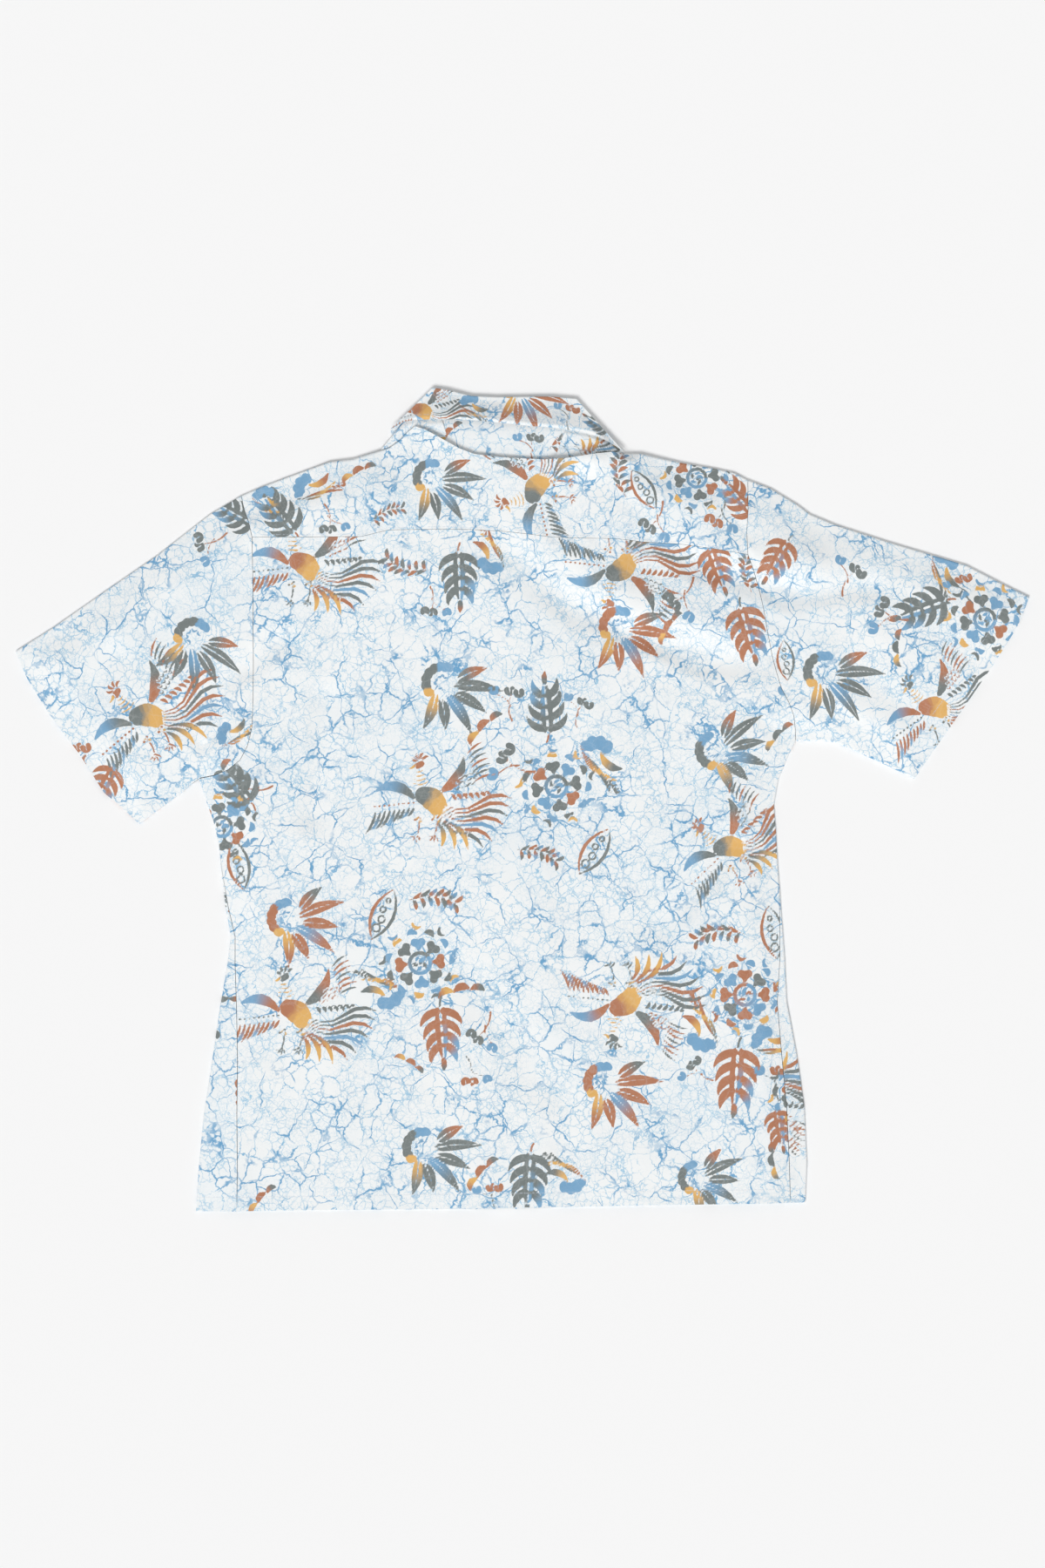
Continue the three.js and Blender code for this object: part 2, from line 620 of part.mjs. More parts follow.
// A sleeve: a flattened open tube between the armhole seam and the cuff.
function makeSleeve(side) {
  const whole = armhole(side, FOLD_HALF).reverse();
  const closed = SLEEVES[side].closed;
  const seam = whole.slice(0, whole.length - closed);
  const last = seam.length - 1;
  const top = [seam[0], ...SLEEVES[side].top.slice(1)];
  const low = [...whole.slice(last), ...SLEEVES[side].low.slice(1)];
  if (closed > 0) {
    low[closed] = step(low[closed], UNDERARM_WAY, UNDERARM_CLEAR);
  }
  const cuff = SLEEVES[side].cuff;
  const steps = segments(seam);
  const shares = seam.map((_, k) => total(steps.slice(0, k)) / total(steps));
  const corner = distance(low[0], low[1]) / total(segments(low));
  const cornerStep = closed > 0 ? Math.round(corner * SLEEVE_STEPS) : 0;
  const rings = [];
  for (let i = 0; i <= SLEEVE_STEPS; i += 1) {
    const out = cornerStep > 0 && i <= cornerStep ? corner * i / cornerStep : i / SLEEVE_STEPS;
    const edges = [along(top, out), along(low, out)];
    const spots = shares.map((t, k) => [0, 1].map((n) => {
      const across = mix(edges[0][n], edges[1][n], t);
      const length = mix(seam[k][n], along(cuff, t)[n], out);
      const first = mix(seam[0][n], cuff[0][n], out);
      const final = mix(seam[last][n], cuff[cuff.length - 1][n], out);
      return across + length - mix(first, final, t);
    }));
    const inwards = [unit(edges[0], spots[1]), unit(edges[1], spots[last - 1])];
    spots[0] = step(edges[0], inwards[0], foldRadius(edges[0]));
    spots[last] = step(edges[1], inwards[1], foldRadius(edges[1]));
    const turn = (n, share) => {
      const path = quarterPath(edges[n]) * share;
      return foldPoint(edges[n], inwards[n], path, false);
    };
    rings.push([
      ...spots.map((spot) => backPoint(spot)),
      ...[0.5, 0, -0.5].map((share) => turn(1, share)),
      ...[...spots].reverse().map((spot) => frontPoint(spot, false)),
      ...[-0.5, 0, 0.5].map((share) => turn(0, share)),
    ]);
  }
  return wallMesh(`sleeve_${side}`, rings, PRINTED, true);
}

// A rolled strip of collar. foot and free give [outer, inner] heights of its two legs.
function makeCollar(name, stations, foot, free) {
  const grid = stations.map((station) => {
    const way = unit(station.foot, station.roll);
    const footEnd = foot(...station.roll);
    const freeEnd = free(...station.roll, 0);
    const radius = Math.abs(freeEnd[0] - footEnd[0]) / 2;
    const sign = Math.sign(freeEnd[0] - footEnd[0]);
    const crest = step(station.roll, way, -radius);
    const section = [];
    for (let k = 0; k <= LEG_STEPS; k += 1) {
      const point = mixPoint(station.foot, crest, k / LEG_STEPS);
      const [outer, inner] = k === LEG_STEPS ? footEnd : foot(...point);
      section.push([[...point, outer], [...point, inner]]);
    }
    for (let k = 1; k < ROLL_STEPS; k += 1) {
      const turn = Math.PI * (k / ROLL_STEPS - 0.5);
      const bend = (r) => [
        ...step(crest, way, r * Math.cos(turn)),
        (footEnd[0] + freeEnd[0]) / 2 + sign * r * Math.sin(turn),
      ];
      section.push([bend(radius), bend(radius - WALL)]);
    }
    for (let k = 0; k <= LEG_STEPS; k += 1) {
      const point = mixPoint(crest, station.free, k / LEG_STEPS);
      const [outer, inner] = k === 0 ? freeEnd : free(...point, k / LEG_STEPS);
      section.push([[...point, outer], [...point, inner]]);
    }
    return section;
  });
  return wallMesh(name, grid, PRINTED, false);
}

function makeBackCollar() {
  const neck = YOKE_TOP.slice(NECK_LEFT, NECK_RIGHT + 1);
  const lengths = segments(neck);
  const stations = neck.map((edge, i) => {
    const share = total(lengths.slice(0, i)) / total(lengths);
    const roll = along(COLLAR_ROLL, share);
    const inside = smooth((Math.min(share, 1 - share) - TUCK_START) / TUCK_WAY);
    const foot = step(edge, unit(roll, edge), mix(TUCK_END, COLLAR_TUCK, inside));
    return { foot, roll, free: along(COLLAR_FREE, share) };
  });
  const foot = (x, y) => {
    const low = backBottom(x, y) - PLY_GAP - WALL;
    return [low, low + WALL];
  };
  const free = (x, y, share) => {
    const low = foot(x, y)[1] + PLY_GAP + LEAF_CURL * share * share;
    return [low + WALL, low];
  };
  return makeCollar('collar_back', stations, foot, free);
}

function makeFrontCollar(side) {
  const at = side === 'left' ? 0 : 2;
  const { roll, free } = FRONT_COLLARS[side];
  const neckline = FRONT_TOP.slice(1, FRONT_NECK + 1).map((row) => row.slice(at, at + 2));
  neckline.reverse();
  const count = 2 * (neckline.length - 1);
  const stations = [];
  for (let i = 0; i <= count; i += 1) {
    const edge = mixPoint(neckline[Math.floor(i / 2)], neckline[Math.ceil(i / 2)], 0.5);
    const crest = along(roll, i / count);
    stations.push({
      foot: step(edge, unit(edge, crest), COLLAR_CLEAR),
      roll: crest,
      free: along(free, i / count),
    });
  }
  const foot = () => [LEAF_LIFT + WALL, LEAF_LIFT];
  const leaf = () => [0, WALL];
  return makeCollar(`collar_${side}`, stations, foot, leaf);
}

function makeButton(number) {
  const radius = BUTTON_DIAMETER / 2;
  const profile = [
    [0, 0], [radius, 0], [radius, BUTTON_HEIGHT], [radius * RIM_TOP, BUTTON_HEIGHT],
    [radius * RIM_FOOT, BUTTON_HEIGHT - BUTTON_RIM], [0, BUTTON_HEIGHT - BUTTON_RIM],
  ];
  const positions = [];
  const index = [];
  const centreY = BUTTON_TOP_Y - BUTTON_PITCH * number;
  for (const [r, z] of profile) {
    const count = r === 0 ? 1 : BUTTON_SIDES;
    for (let k = 0; k < count; k += 1) {
      const turn = 2 * Math.PI * k / BUTTON_SIDES;
      positions.push(CENTRE_X + r * Math.cos(turn), centreY + r * Math.sin(turn), z);
    }
  }
  const ring = (n, k) => 1 + (n - 1) * BUTTON_SIDES + (k % BUTTON_SIDES);
  const tip = positions.length / 3 - 1;
  for (let k = 0; k < BUTTON_SIDES; k += 1) {
    index.push(0, ring(1, k + 1), ring(1, k));
    index.push(tip, ring(4, k), ring(4, k + 1));
    for (let n = 1; n < 4; n += 1) {
      index.push(ring(n, k), ring(n, k + 1), ring(n + 1, k + 1));
      index.push(ring(n, k), ring(n + 1, k + 1), ring(n + 1, k));
    }
  }
  return closedMesh(`button_${number + 1}`, positions, index, SHELL);
}

const group = new THREE.Group();
group.name = 'aloha_shirt';
group.add(makeBack());
group.add(makeYoke());
group.add(makeFront('left', false));
group.add(makeFront('right', true));
group.add(makeSleeve('left'));
group.add(makeSleeve('right'));
group.add(makeBackCollar());
group.add(makeFrontCollar('left'));
group.add(makeFrontCollar('right'));
for (let number = 0; number < BUTTON_COUNT; number += 1) {
  group.add(makeButton(number));
}

export default group;
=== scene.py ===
"""A short-sleeved aloha shirt laid flat on its buttoned front: cloth panels, collar, buttons and stage."""

import bpy
import numpy as np
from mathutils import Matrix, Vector


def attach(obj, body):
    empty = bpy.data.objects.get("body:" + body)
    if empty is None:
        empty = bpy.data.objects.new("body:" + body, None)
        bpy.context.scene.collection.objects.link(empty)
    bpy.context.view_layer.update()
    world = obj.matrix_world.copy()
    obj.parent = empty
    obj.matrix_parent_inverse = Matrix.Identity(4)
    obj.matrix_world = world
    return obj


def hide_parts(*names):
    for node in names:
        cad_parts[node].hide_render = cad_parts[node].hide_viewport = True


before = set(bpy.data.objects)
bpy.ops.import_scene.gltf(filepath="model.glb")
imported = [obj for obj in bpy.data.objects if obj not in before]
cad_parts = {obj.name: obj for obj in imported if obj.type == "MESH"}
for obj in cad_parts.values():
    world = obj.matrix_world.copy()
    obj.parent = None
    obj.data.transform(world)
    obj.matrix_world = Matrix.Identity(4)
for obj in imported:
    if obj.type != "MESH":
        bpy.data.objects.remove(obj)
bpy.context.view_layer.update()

bl_info = {
    "name": "Aloha shirt laid flat",
    "version": (1, 0, 0),
    "blender": (4, 5, 0),
    "location": "View3D > Sidebar > Shirt",
    "description": "Builds a printed short-sleeved shirt lying face down, with its stage",
    "category": "Add Mesh",
}

# ---------------------------------------------------------------- sizes and colours


def length(name, description, default):
    """A size in metres, shown in the sidebar."""
    return bpy.props.FloatProperty(
        name=name, description=description, default=default, min=0.0, precision=5, unit="LENGTH"
    )


def linear(code):
    """Linear colour of an sRGB hex code such as '#e9eef5'."""
    srgb = np.array([int(code[i : i + 2], 16) for i in (1, 3, 5)]) / 255.0
    return tuple(np.where(srgb <= 0.04045, srgb / 12.92, ((srgb + 0.055) / 1.055) ** 2.4))


def colour(name, description, code):
    """A colour of the shirt, given as an sRGB hex code."""
    return bpy.props.FloatVectorProperty(
        name=name, description=description, default=linear(code), subtype="COLOR", min=0, max=1
    )


class ShirtSizes(bpy.types.PropertyGroup):
    cell: length("Fine cell", "Mesh cell where the visible print has its edges", 0.0013)
    plain_cell: length("Plain cell", "Mesh cell between the printed shapes", 0.0045)
    hidden_cell: length("Hidden cell", "Mesh cell of the panels that lie underneath", 0.0018)
    inner_cell: length("Inner cell", "Mesh cell of a panel's inner side", 0.011)
    crease: length("Crease depth", "Depth of the shallow creases between the folds", 0.0013)
    loft: bpy.props.FloatProperty(
        name="Loft", description="How much higher the folds stand than in the solids", default=0.75
    )
    seam_pucker: length("Seam pucker", "Height of the puckers beside the seams", 0.00025)
    hem: length("Hem", "Depth of the sewn hem", 0.013)
    cuff_hem: length("Cuff hem", "Depth of the hem at a cuff", 0.020)
    collar_stitch: length("Collar stitch", "From the collar's free edge to its stitching", 0.0045)
    stitch_width: length("Stitch width", "Width of the dent that a line of stitches makes", 0.0011)
    motif_gap: length("Resist line", "White line left between neighbouring printed shapes", 0.0009)
    vein_cell: length("Crackle cell", "Size of the larger cells of the crackle", 0.019)
    fine_vein_cell: length("Fine crackle cell", "Size of the smaller cells of the crackle", 0.0085)
    weave: length("Weave pitch", "Distance between neighbouring threads", 0.0005)
    button: length("Button diameter", "Outer diameter of a button", 0.0115)
    button_height: length("Button height", "Height of a button", 0.002)


class ShirtColours(bpy.types.PropertyGroup):
    ground: colour("Ground", "Bleached cotton, very slightly blue", "#f3f5f5")
    vein: colour("Crackle", "Pale blue veins where dye ran into the wax", "#a0cae3")
    deep_vein: colour("Deep crackle", "Where the veins meet", "#5795c3")
    slate: colour("Slate", "Grey dye of leaves and feathers", "#7a8180")
    rust: colour("Rust", "Red-brown dye", "#b67d60")
    ochre: colour("Ochre", "Yellow dye", "#e2b36c")
    blue: colour("Blue", "Clear mid blue dye", "#7ca8ca")
    thread: colour("Thread", "Sewing thread", "#c9d1dc")
    button: colour("Button", "Cream resin", "#e9e4d8")
    floor: colour("Floor", "Plain pale backdrop", "#f6f6f6")


# ---------------------------------------------------------------- the laid shirt, in mm

MM = 0.001
WALL = 1.1
SEAM_HALF = 0.15
FOLD_HALF = 0.25
PLY_GAP = 0.3
EDGE_GAP = 1.2
NECK_GAP = 3.1
NECK_CENTRE = (-18, 330)
NECK_REACH = 122
NECK_FADE = 80
DOME = 3.6
EDGE_FADE = 38
BACK_FLOOR = 0.15
CENTRE_X = -18.4
MIDDLE_Y = 1
LAP = 15
LAP_OUTER = 2
LAP_INNER = 14
LAP_FADE = 22
LAP_ROOM = 1.6
LAP_HEAD = 30
BUTTON_TOP_Y = 203
BUTTON_PITCH = 88
BUTTON_COUNT = 6
BUTTON_SIDES = 48
# From the underside up over the rim into the dished top: share of the radius, share of the height.
BUTTON_PROFILE = np.array([
    [0.5, 0], [0.93, 0], [0.98, 0.04], [1.0, 0.12], [1.0, 0.8], [0.97, 0.94], [0.9, 1.0],
    [0.82, 0.98], [0.74, 0.8], [0.66, 0.72], [0.4, 0.7],
])
LEAF_LIFT = WALL + PLY_GAP
LEAF_MARGIN = 20
LEAF_FADE = 15
LEAF_CURL = 1.5
LAP_LIFT = 2.3
COLLAR_TUCK = 3
TUCK_END = -1.5
TUCK_START = 0.05
TUCK_WAY = 0.08
COLLAR_CLEAR = 1.1
BEND_LEAD = 0.6
PULL_Y = 150
END_SPREAD = 0.12
YOKE_ROW = 10
NECK_PULL_ROW = 5
# Folded side edges, hem to underarm: x, y and wrap (how far the front reaches round on to
# the back) on the left, the same on the right, and the height of the row on the centre front.
SIDES = np.array([
    [-300, -377, 39, 260, -369, 15, -375],
    [-297.5, -337, 37, 261.5, -333, 17.5, -335],
    [-293, -289, 32, 259, -281, 17.5, -287],
    [-285.5, -241, 25, 252, -233, 15, -239],
    [-278.5, -193, 17, 243, -185, 10, -191],
    [-271, -149, 8, 241, -145, 5.5, -147],
    [-268, -125, 5, 239, -117, 3.5, -121],
    [-273, -97, 3.5, 237, -89, 2, -93.5],
    [-277, -65, 2, 234.5, -57, 1, -63],
    [-279, -41, 1, 233, -29, 0, -37],
    [-284, -19, 0, 231, -5, 0, -13],
    [-290.5, -1, 0, 235, 18.5, 0, 5.5],
    [-295, 13.5, 0, 242.5, 37, 0, 17],
    [-297.5, 20, 0, 251, 54.5, 0, 23],
])
# Armhole seams above the underarm: left x, y, right x, y, height on the centre front.
ARMHOLES = np.array([
    [-283, 23, 250.5, 65, 31],
    [-270.5, 28, 249, 77.5, 41],
    [-259, 37, 244, 90.5, 50.5],
    [-252, 50.5, 237.5, 103, 61.5],
    [-248, 67, 233, 117.5, 75],
    [-247, 95, 229, 133.5, 95],
    [-247, 127, 225, 153, 119],
    [-247, 159, 221.5, 173.5, 141.5],
    [-247, 191, 217, 194.5, 163],
    [-247.5, 217, 212, 211, 180],
    [-248, 241.5, 206.5, 225.5, 194.5],
    [-251, 255, 205.5, 247, 204],
    [-256, 269, 207, 267, 213.5],
    [-258.5, 280, 207, 294.5, 223],
])
# Yoke seam and upper edge of the yoke, x and y from left to right.
YOKE_SEAM = np.array([
    [-248, 241.5], [-145, 242], [-123, 248], [-62.5, 249], [-21, 247], [9.5, 245], [27, 241],
    [87, 240], [112, 237], [150.5, 235], [206.5, 225.5],
])
YOKE_TOP = np.array([
    [-258.5, 280], [-240, 288], [-216, 297], [-177.5, 311], [-156, 313.5], [-131, 321],
    [-121, 324], [-113, 329.5], [-105.5, 337.5], [-98.5, 343], [-89.5, 340], [-77.5, 333.5],
    [-57.5, 322.5], [-44, 317.5], [-20, 314.5], [20, 312.5], [40, 313.5], [64, 317],
    [82.5, 319.5], [93.5, 318.5], [108, 318.5], [144, 310.5], [176, 305], [194.5, 301],
    [207, 294.5],
])
NECK_LEFT, NECK_RIGHT = 5, 19  # rows of YOKE_TOP at the neck points
# Upper edge of a front from the centre: left x, y, right x, y, share of the same column at the hem.
FRONT_TOP = np.array([
    [-3, 223, -33.5, 223, 0],
    [-44, 231, 7, 230.5, 0.05],
    [-76, 244, 39, 242.5, 0.1],
    [-102.5, 261.5, 65.5, 260, 0.17],
    [-118.5, 282.5, 81.5, 281, 0.26],
    [-127, 303, 90.5, 301.5, 0.37],
    [-131, 321, 93.5, 318.5, 0.48],
    [-164, 312, 121.5, 315, 0.61],
    [-196, 303, 149.5, 309.5, 0.74],
    [-228, 292, 180, 304, 0.87],
    [-258.5, 280, 207, 294.5, 1],
])
FRONT_NECK = 6  # the row of FRONT_TOP at the neck point
# Roll line and free edge of the back of the collar, x and y.
COLLAR_ROLL = np.array([
    [-82.5, 379], [-70.5, 377.5], [-47, 371.5], [-24, 370.5], [25.5, 371], [49, 369],
])
COLLAR_FREE = np.array([
    [-121, 341], [-109, 347.5], [-98.5, 349], [-65.5, 349], [-41, 348], [5.5, 343],
    [25.5, 341.5], [50.5, 338.5], [66.5, 334.5], [81.5, 328], [93, 320],
])
# Sleeve edges from the armhole out, cuffs from top to bottom, and how many rows next to the
# underarm are joined.
SLEEVES = {
    "left": {
        "closed": 1,
        "top": [[-258.5, 280], [-288, 262.5], [-336, 225], [-384, 192], [-432, 158.5], [-465.5, 137.5]],
        "low": [[-297.5, 20], [-312, 8], [-336, -9.5], [-352, -21.5]],
        "cuff": [
            [-465.5, 137.5], [-456, 113.5], [-432, 75], [-408, 44], [-384, 6.5], [-372, -3],
            [-352, -21.5],
        ],
    },
    "right": {
        "closed": 0,
        "top": [
            [207, 294.5], [228, 286.5], [252, 272], [264, 263], [288, 253], [336, 237.5],
            [408, 216], [444, 197.5], [465.5, 187],
        ],
        "low": [[251, 54.5], [276, 54.5], [288, 53], [324, 37], [360, 20]],
        "cuff": [[465.5, 187], [456, 161.5], [432, 124], [408, 89], [384, 55], [360, 20]],
    },
}
FRONT_COLLARS = {
    "left": {"roll": [[-82.5, 379], [-38.5, 237.5]], "free": [[-121, 341], [-121, 287], [-110.5, 219]]},
    "right": {"roll": [[49, 369], [1.5, 237.5]], "free": [[93, 320], [85.5, 279], [73.5, 219]]},
}

# Soft folds of the upper layer, as in the solids: x0, y0, x1, y1, rise, half width.
FOLDS = [
    [-6.5, 220, 64, 162.5, -3.0, 19],
    [64, 162.5, 160, 130.5, -3.2, 18],
    [160, 130.5, 227, 124, -2.2, 17],
    [10, 236, 92, 190, 1.8, 18],
    [92, 190, 190, 158, 1.8, 18],
    [115, 239, 160, 213.5, -1.8, 15],
    [160, 213.5, 243, 188, -2.6, 15],
    [243, 188, 320, 194.5, -2.4, 15],
    [178, 232, 262, 214, 1.6, 15],
    [-224, 143, -313.5, 79, -2.2, 17],
    [-280, 83, -294.5, 55, -2.6, 12],
    [192, -49, 134.5, -113, -2.4, 20],
    [-173, 290.5, -249.5, 265, -2.2, 16],
    [-179, 92, -192, -10.5, -2.0, 15],
    [-377.5, 130.5, -416, 66.5, -2.2, 16],
    [300, 120, 372, 66, -1.8, 18],
    [-60, -150, 20, -260, -1.4, 22],
]
# Finer creases of the upper layer, with the same columns. The first nine rows are ridges beside
# the main folds, which make them steeper.
CREASES = [
    [-14, 210, 56, 152, 1.4, 11],
    [56, 152, 156, 118, 1.5, 11],
    [156, 118, 226, 111, 1.1, 10],
    [109, 228, 154, 203, 0.9, 10],
    [156, 202, 240, 176, 1.3, 10],
    [244, 176, 321, 182, 1.1, 10],
    [-217, 133, -306, 69, 1.2, 10],
    [202, -58, 144, -122, 1.2, 11],
    [-169, 279, -246, 254, 1.1, 10],
    [-20, 210, 30, 176, -0.7, 7],
    [40, 200, 96, 176, 0.6, 9],
    [96, 176, 168, 158, 0.7, 8],
    [70, 152, 150, 122, 0.6, 9],
    [150, 122, 214, 112, -0.6, 8],
    [120, 226, 190, 196, 0.5, 8],
    [190, 170, 240, 160, -0.6, 7],
    [196, 140, 236, 120, 0.6, 7],
    [206, 84, 236, 60, -0.7, 7],
    [-286, 96, -292, 58, 0.9, 5],
    [-272, 70, -296, 46, -0.9, 5],
    [-262, 60, -284, 28, 0.5, 7],
    [-246, 120, -276, 96, -0.5, 9],
    [-230, 40, -262, 24, -0.6, 8],
    [-196, 60, -206, -30, 0.6, 10],
    [-150, 160, -166, 60, 0.5, 14],
    [-120, 40, -136, -90, -0.5, 16],
    [-60, 120, -48, -20, 0.4, 18],
    [20, 60, 34, -90, -0.5, 16],
    [90, 40, 120, -60, 0.5, 16],
    [150, -20, 176, -90, 0.5, 10],
    [196, -70, 168, -130, 0.6, 9],
    [120, -120, 90, -220, -0.4, 18],
    [-160, -140, -176, -300, 0.5, 18],
    [-60, -180, -80, -330, -0.4, 20],
    [40, -220, 66, -350, 0.5, 18],
    [150, -220, 170, -350, -0.5, 16],
    [-220, -120, -236, -200, -0.6, 10],
    [206, -140, 222, -240, -0.5, 10],
    [-150, 300, -226, 262, 0.6, 8],
    [-110, 300, -60, 276, -0.6, 12],
    [60, 300, 110, 262, -0.7, 10],
    [100, 296, 160, 262, 0.5, 12],
    [176, 284, 196, 256, -0.7, 7],
    [188, 288, 206, 262, 0.6, 5],
    [-20, 296, 30, 262, 0.4, 14],
    [-300, 250, -350, 190, 0.6, 12],
    [-330, 180, -380, 70, -0.6, 12],
    [-290, 160, -330, 60, 0.6, 12],
    [-420, 150, -440, 90, -0.5, 12],
    [-310, 40, -350, 10, -0.6, 10],
    [256, 230, 330, 150, 0.6, 12],
    [280, 130, 350, 74, 0.6, 12],
    [262, 96, 320, 62, -0.8, 9],
    [262, 74, 300, 60, 0.6, 7],
    [350, 190, 420, 120, -0.6, 14],
    [390, 110, 370, 60, 0.5, 12],
]
# Where the yoke's edge and the fall of the collar stand off the collar's stand.
NECK_LIFTS = [
    [36, 312, 66, 312, 4.5, 13],
    [66, 312, 90, 316, 5.0, 12],
]
FALL_CURL = 4.6  # how far the free edge of the fall curls up, in mm, over FALL_REACH
FALL_REACH = 15
RIM_DIP = 0.4  # share of the curl that the edge itself gives back where it rolls over
RIM_WIDTH = 1.7
CREASE_FADE = 9  # the creases fade out over this distance from the outline
CREASE_UNIT = 0.9  # a rise in CREASES that stands for the full crease depth
UNEVEN_SHARE = 0.3  # unevenness between the creases, as a share of the crease depth
DEEPEST = -0.9  # no crease sinks further than this, which keeps it off the layer below
PUCKER_REACH = 6
PUCKER_WAVE = 2.9
YOKE_STITCH = 2.2  # from the yoke seam to its line of stitches
NO_STITCH = 9  # a distance at which no stitches show
SHARP_ANGLE = 50
LOWER_CLOTH = [1500, 0, 0]  # moves the crackle of the lower layer to another place in the cloth
# Mesh cell of each piece as a share of the fine cell.
BACK_CELL, YOKE_CELL, SLEEVE_CELL, COLLAR_CELL = 1.2, 0.85, 0.85, 0.8


def smooth(value):
    """Soft step: 3t^2 - 2t^3 of the value held between 0 and 1."""
    t = np.clip(value, 0, 1)
    return t * t * (3 - 2 * t)


def mix(a, b, share):
    """Straight blend of a and b."""
    return a + (b - a) * share


def unit(a, b):
    """Unit vector from a to b."""
    way = np.asarray(b, float) - np.asarray(a, float)
    return way / np.linalg.norm(way, axis=-1, keepdims=True)


def segment_distance(p, a, b):
    """Distance in plan from each point of p to the segment a-b, and the share of the nearest place."""
    a, way = np.asarray(a, float), np.asarray(b, float) - np.asarray(a, float)
    share = np.clip(((p - a) @ way) / max(way @ way, 1e-9), 0, 1)
    return np.linalg.norm(p - a - share[..., None] * way, axis=-1), share


def polyline_distance(p, line):
    """Least distance in plan from each point to a polyline."""
    return np.min([segment_distance(p, a, b)[0] for a, b in zip(line[:-1], line[1:])], axis=0)


def along(line, share):
    """Points at shares of a polyline's length."""
    line = np.asarray(line, float)
    run = np.concatenate([[0], np.cumsum(np.linalg.norm(np.diff(line, axis=0), axis=1))])
    at = np.clip(np.asarray(share, float), 0, 1) * run[-1]
    return np.stack([np.interp(at, run, line[:, 0]), np.interp(at, run, line[:, 1])], axis=-1)


def shares_of(line):
    """Share of a polyline's length at each of its points."""
    run = np.concatenate([[0], np.cumsum(np.linalg.norm(np.diff(line, axis=0), axis=1))])
    return run / run[-1]


OUTLINE = np.array(
    [
        *SIDES[:, :2],
        *SLEEVES["left"]["low"][1:],
        *SLEEVES["left"]["cuff"][-2::-1],
        *SLEEVES["left"]["top"][-2::-1],
        *YOKE_TOP[1 : NECK_LEFT + 1],
        COLLAR_FREE[0],
        *COLLAR_ROLL,
        *YOKE_TOP[NECK_RIGHT:-1],
        *SLEEVES["right"]["top"],
        *SLEEVES["right"]["cuff"][1:],
        *SLEEVES["right"]["low"][-2::-1],
        *SIDES[-2::-1, 3:5],
    ]
)


def folds(p, table):
    """Sum of soft ridges and troughs: rise times a bell of the distance to each fold's line."""
    total = np.zeros(p.shape[:-1])
    for x0, y0, x1, y1, rise, half_width in table:
        away = segment_distance(p, (x0, y0), (x1, y1))[0] / half_width
        total += rise * np.exp(-away * away)
    return total


def relief(p):
    """Rise of the back over its folded edges: a low dome with the soft folds in it."""
    rise = np.maximum(BACK_FLOOR, DOME + folds(p, FOLDS))
    return rise * smooth(polyline_distance(p, OUTLINE) / EDGE_FADE)


def back_bottom(p):
    """Underside of the upper layer: wall, gap at the fold, relief and the room over the buttons."""
    away = np.linalg.norm(p - np.array(NECK_CENTRE), axis=-1) - NECK_REACH
    gap = mix(NECK_GAP, EDGE_GAP, smooth(away / NECK_FADE))
    across = 1 - smooth((np.abs(p[..., 0] - CENTRE_X) - LAP - LAP_FADE) / LAP_FADE)
    down = smooth((BUTTON_TOP_Y + LAP_HEAD - p[..., 1]) / LAP_FADE)
    return WALL + gap + relief(p) + LAP_ROOM * across * down


def leaf_distance(p):
    """Distance in plan to the nearer collar leaf, 0 inside it."""
    best = np.full(p.shape[:-1], np.inf)
    for side in FRONT_COLLARS.values():
        leaf = np.array([*side["roll"], *side["free"][::-1]], float)
        inside = np.zeros(p.shape[:-1], bool)
        for a, b in zip(leaf, np.roll(leaf, -1, axis=0)):
            best = np.minimum(best, segment_distance(p, a, b)[0])
            if a[1] != b[1]:
                crossing = a[0] + (b[0] - a[0]) * (p[..., 1] - a[1]) / (b[1] - a[1])
                inside ^= ((a[1] > p[..., 1]) != (b[1] > p[..., 1])) & (p[..., 0] < crossing)
        best = np.where(inside, 0, best)
    return best


def front_bottom(p, inner=False):
    """Underside of a front: level on the floor, lifted over the lap's buttons and the collar leaves."""
    reach = np.abs(p[..., 0] - CENTRE_X) - LAP - (LAP_INNER if inner else LAP_OUTER)
    lap = (LAP_LIFT + (WALL + PLY_GAP if inner else 0)) * (1 - smooth(reach / LAP_FADE))
    leaf = LEAF_LIFT * (1 - smooth((leaf_distance(p) - LEAF_MARGIN) / LEAF_FADE))
    return np.maximum(lap, leaf)


def lying(p, layer, inner=False):
    """Underside of the cloth on its way round a folded edge: the front's, blended into the back's
    by the share of the upper layer."""
    return mix(front_bottom(p, inner), back_bottom(p), layer)


def upright(xy, z):
    """Points from plan places and heights."""
    return np.concatenate([xy, np.asarray(z)[..., None]], axis=-1)


def back_point(p):
    """Outer and inner wall points of the upper layer."""
    low = back_bottom(p)
    return np.stack([upright(p, low + WALL), upright(p, low)])


def front_point(p, inner=False):
    """Outer and inner wall points of the lower layer."""
    low = front_bottom(p, inner)
    return np.stack([upright(p, low), upright(p, low + WALL)])


def fold_radius(edge):
    """Outer radius of the half circle between the lower and the upper layer at a folded edge."""
    return (back_bottom(edge) + WALL - front_bottom(edge)) / 2


def quarter_path(edge):
    """Length of path from the middle of a fold to where the cloth lies level."""
    return fold_radius(edge) * np.pi / 2


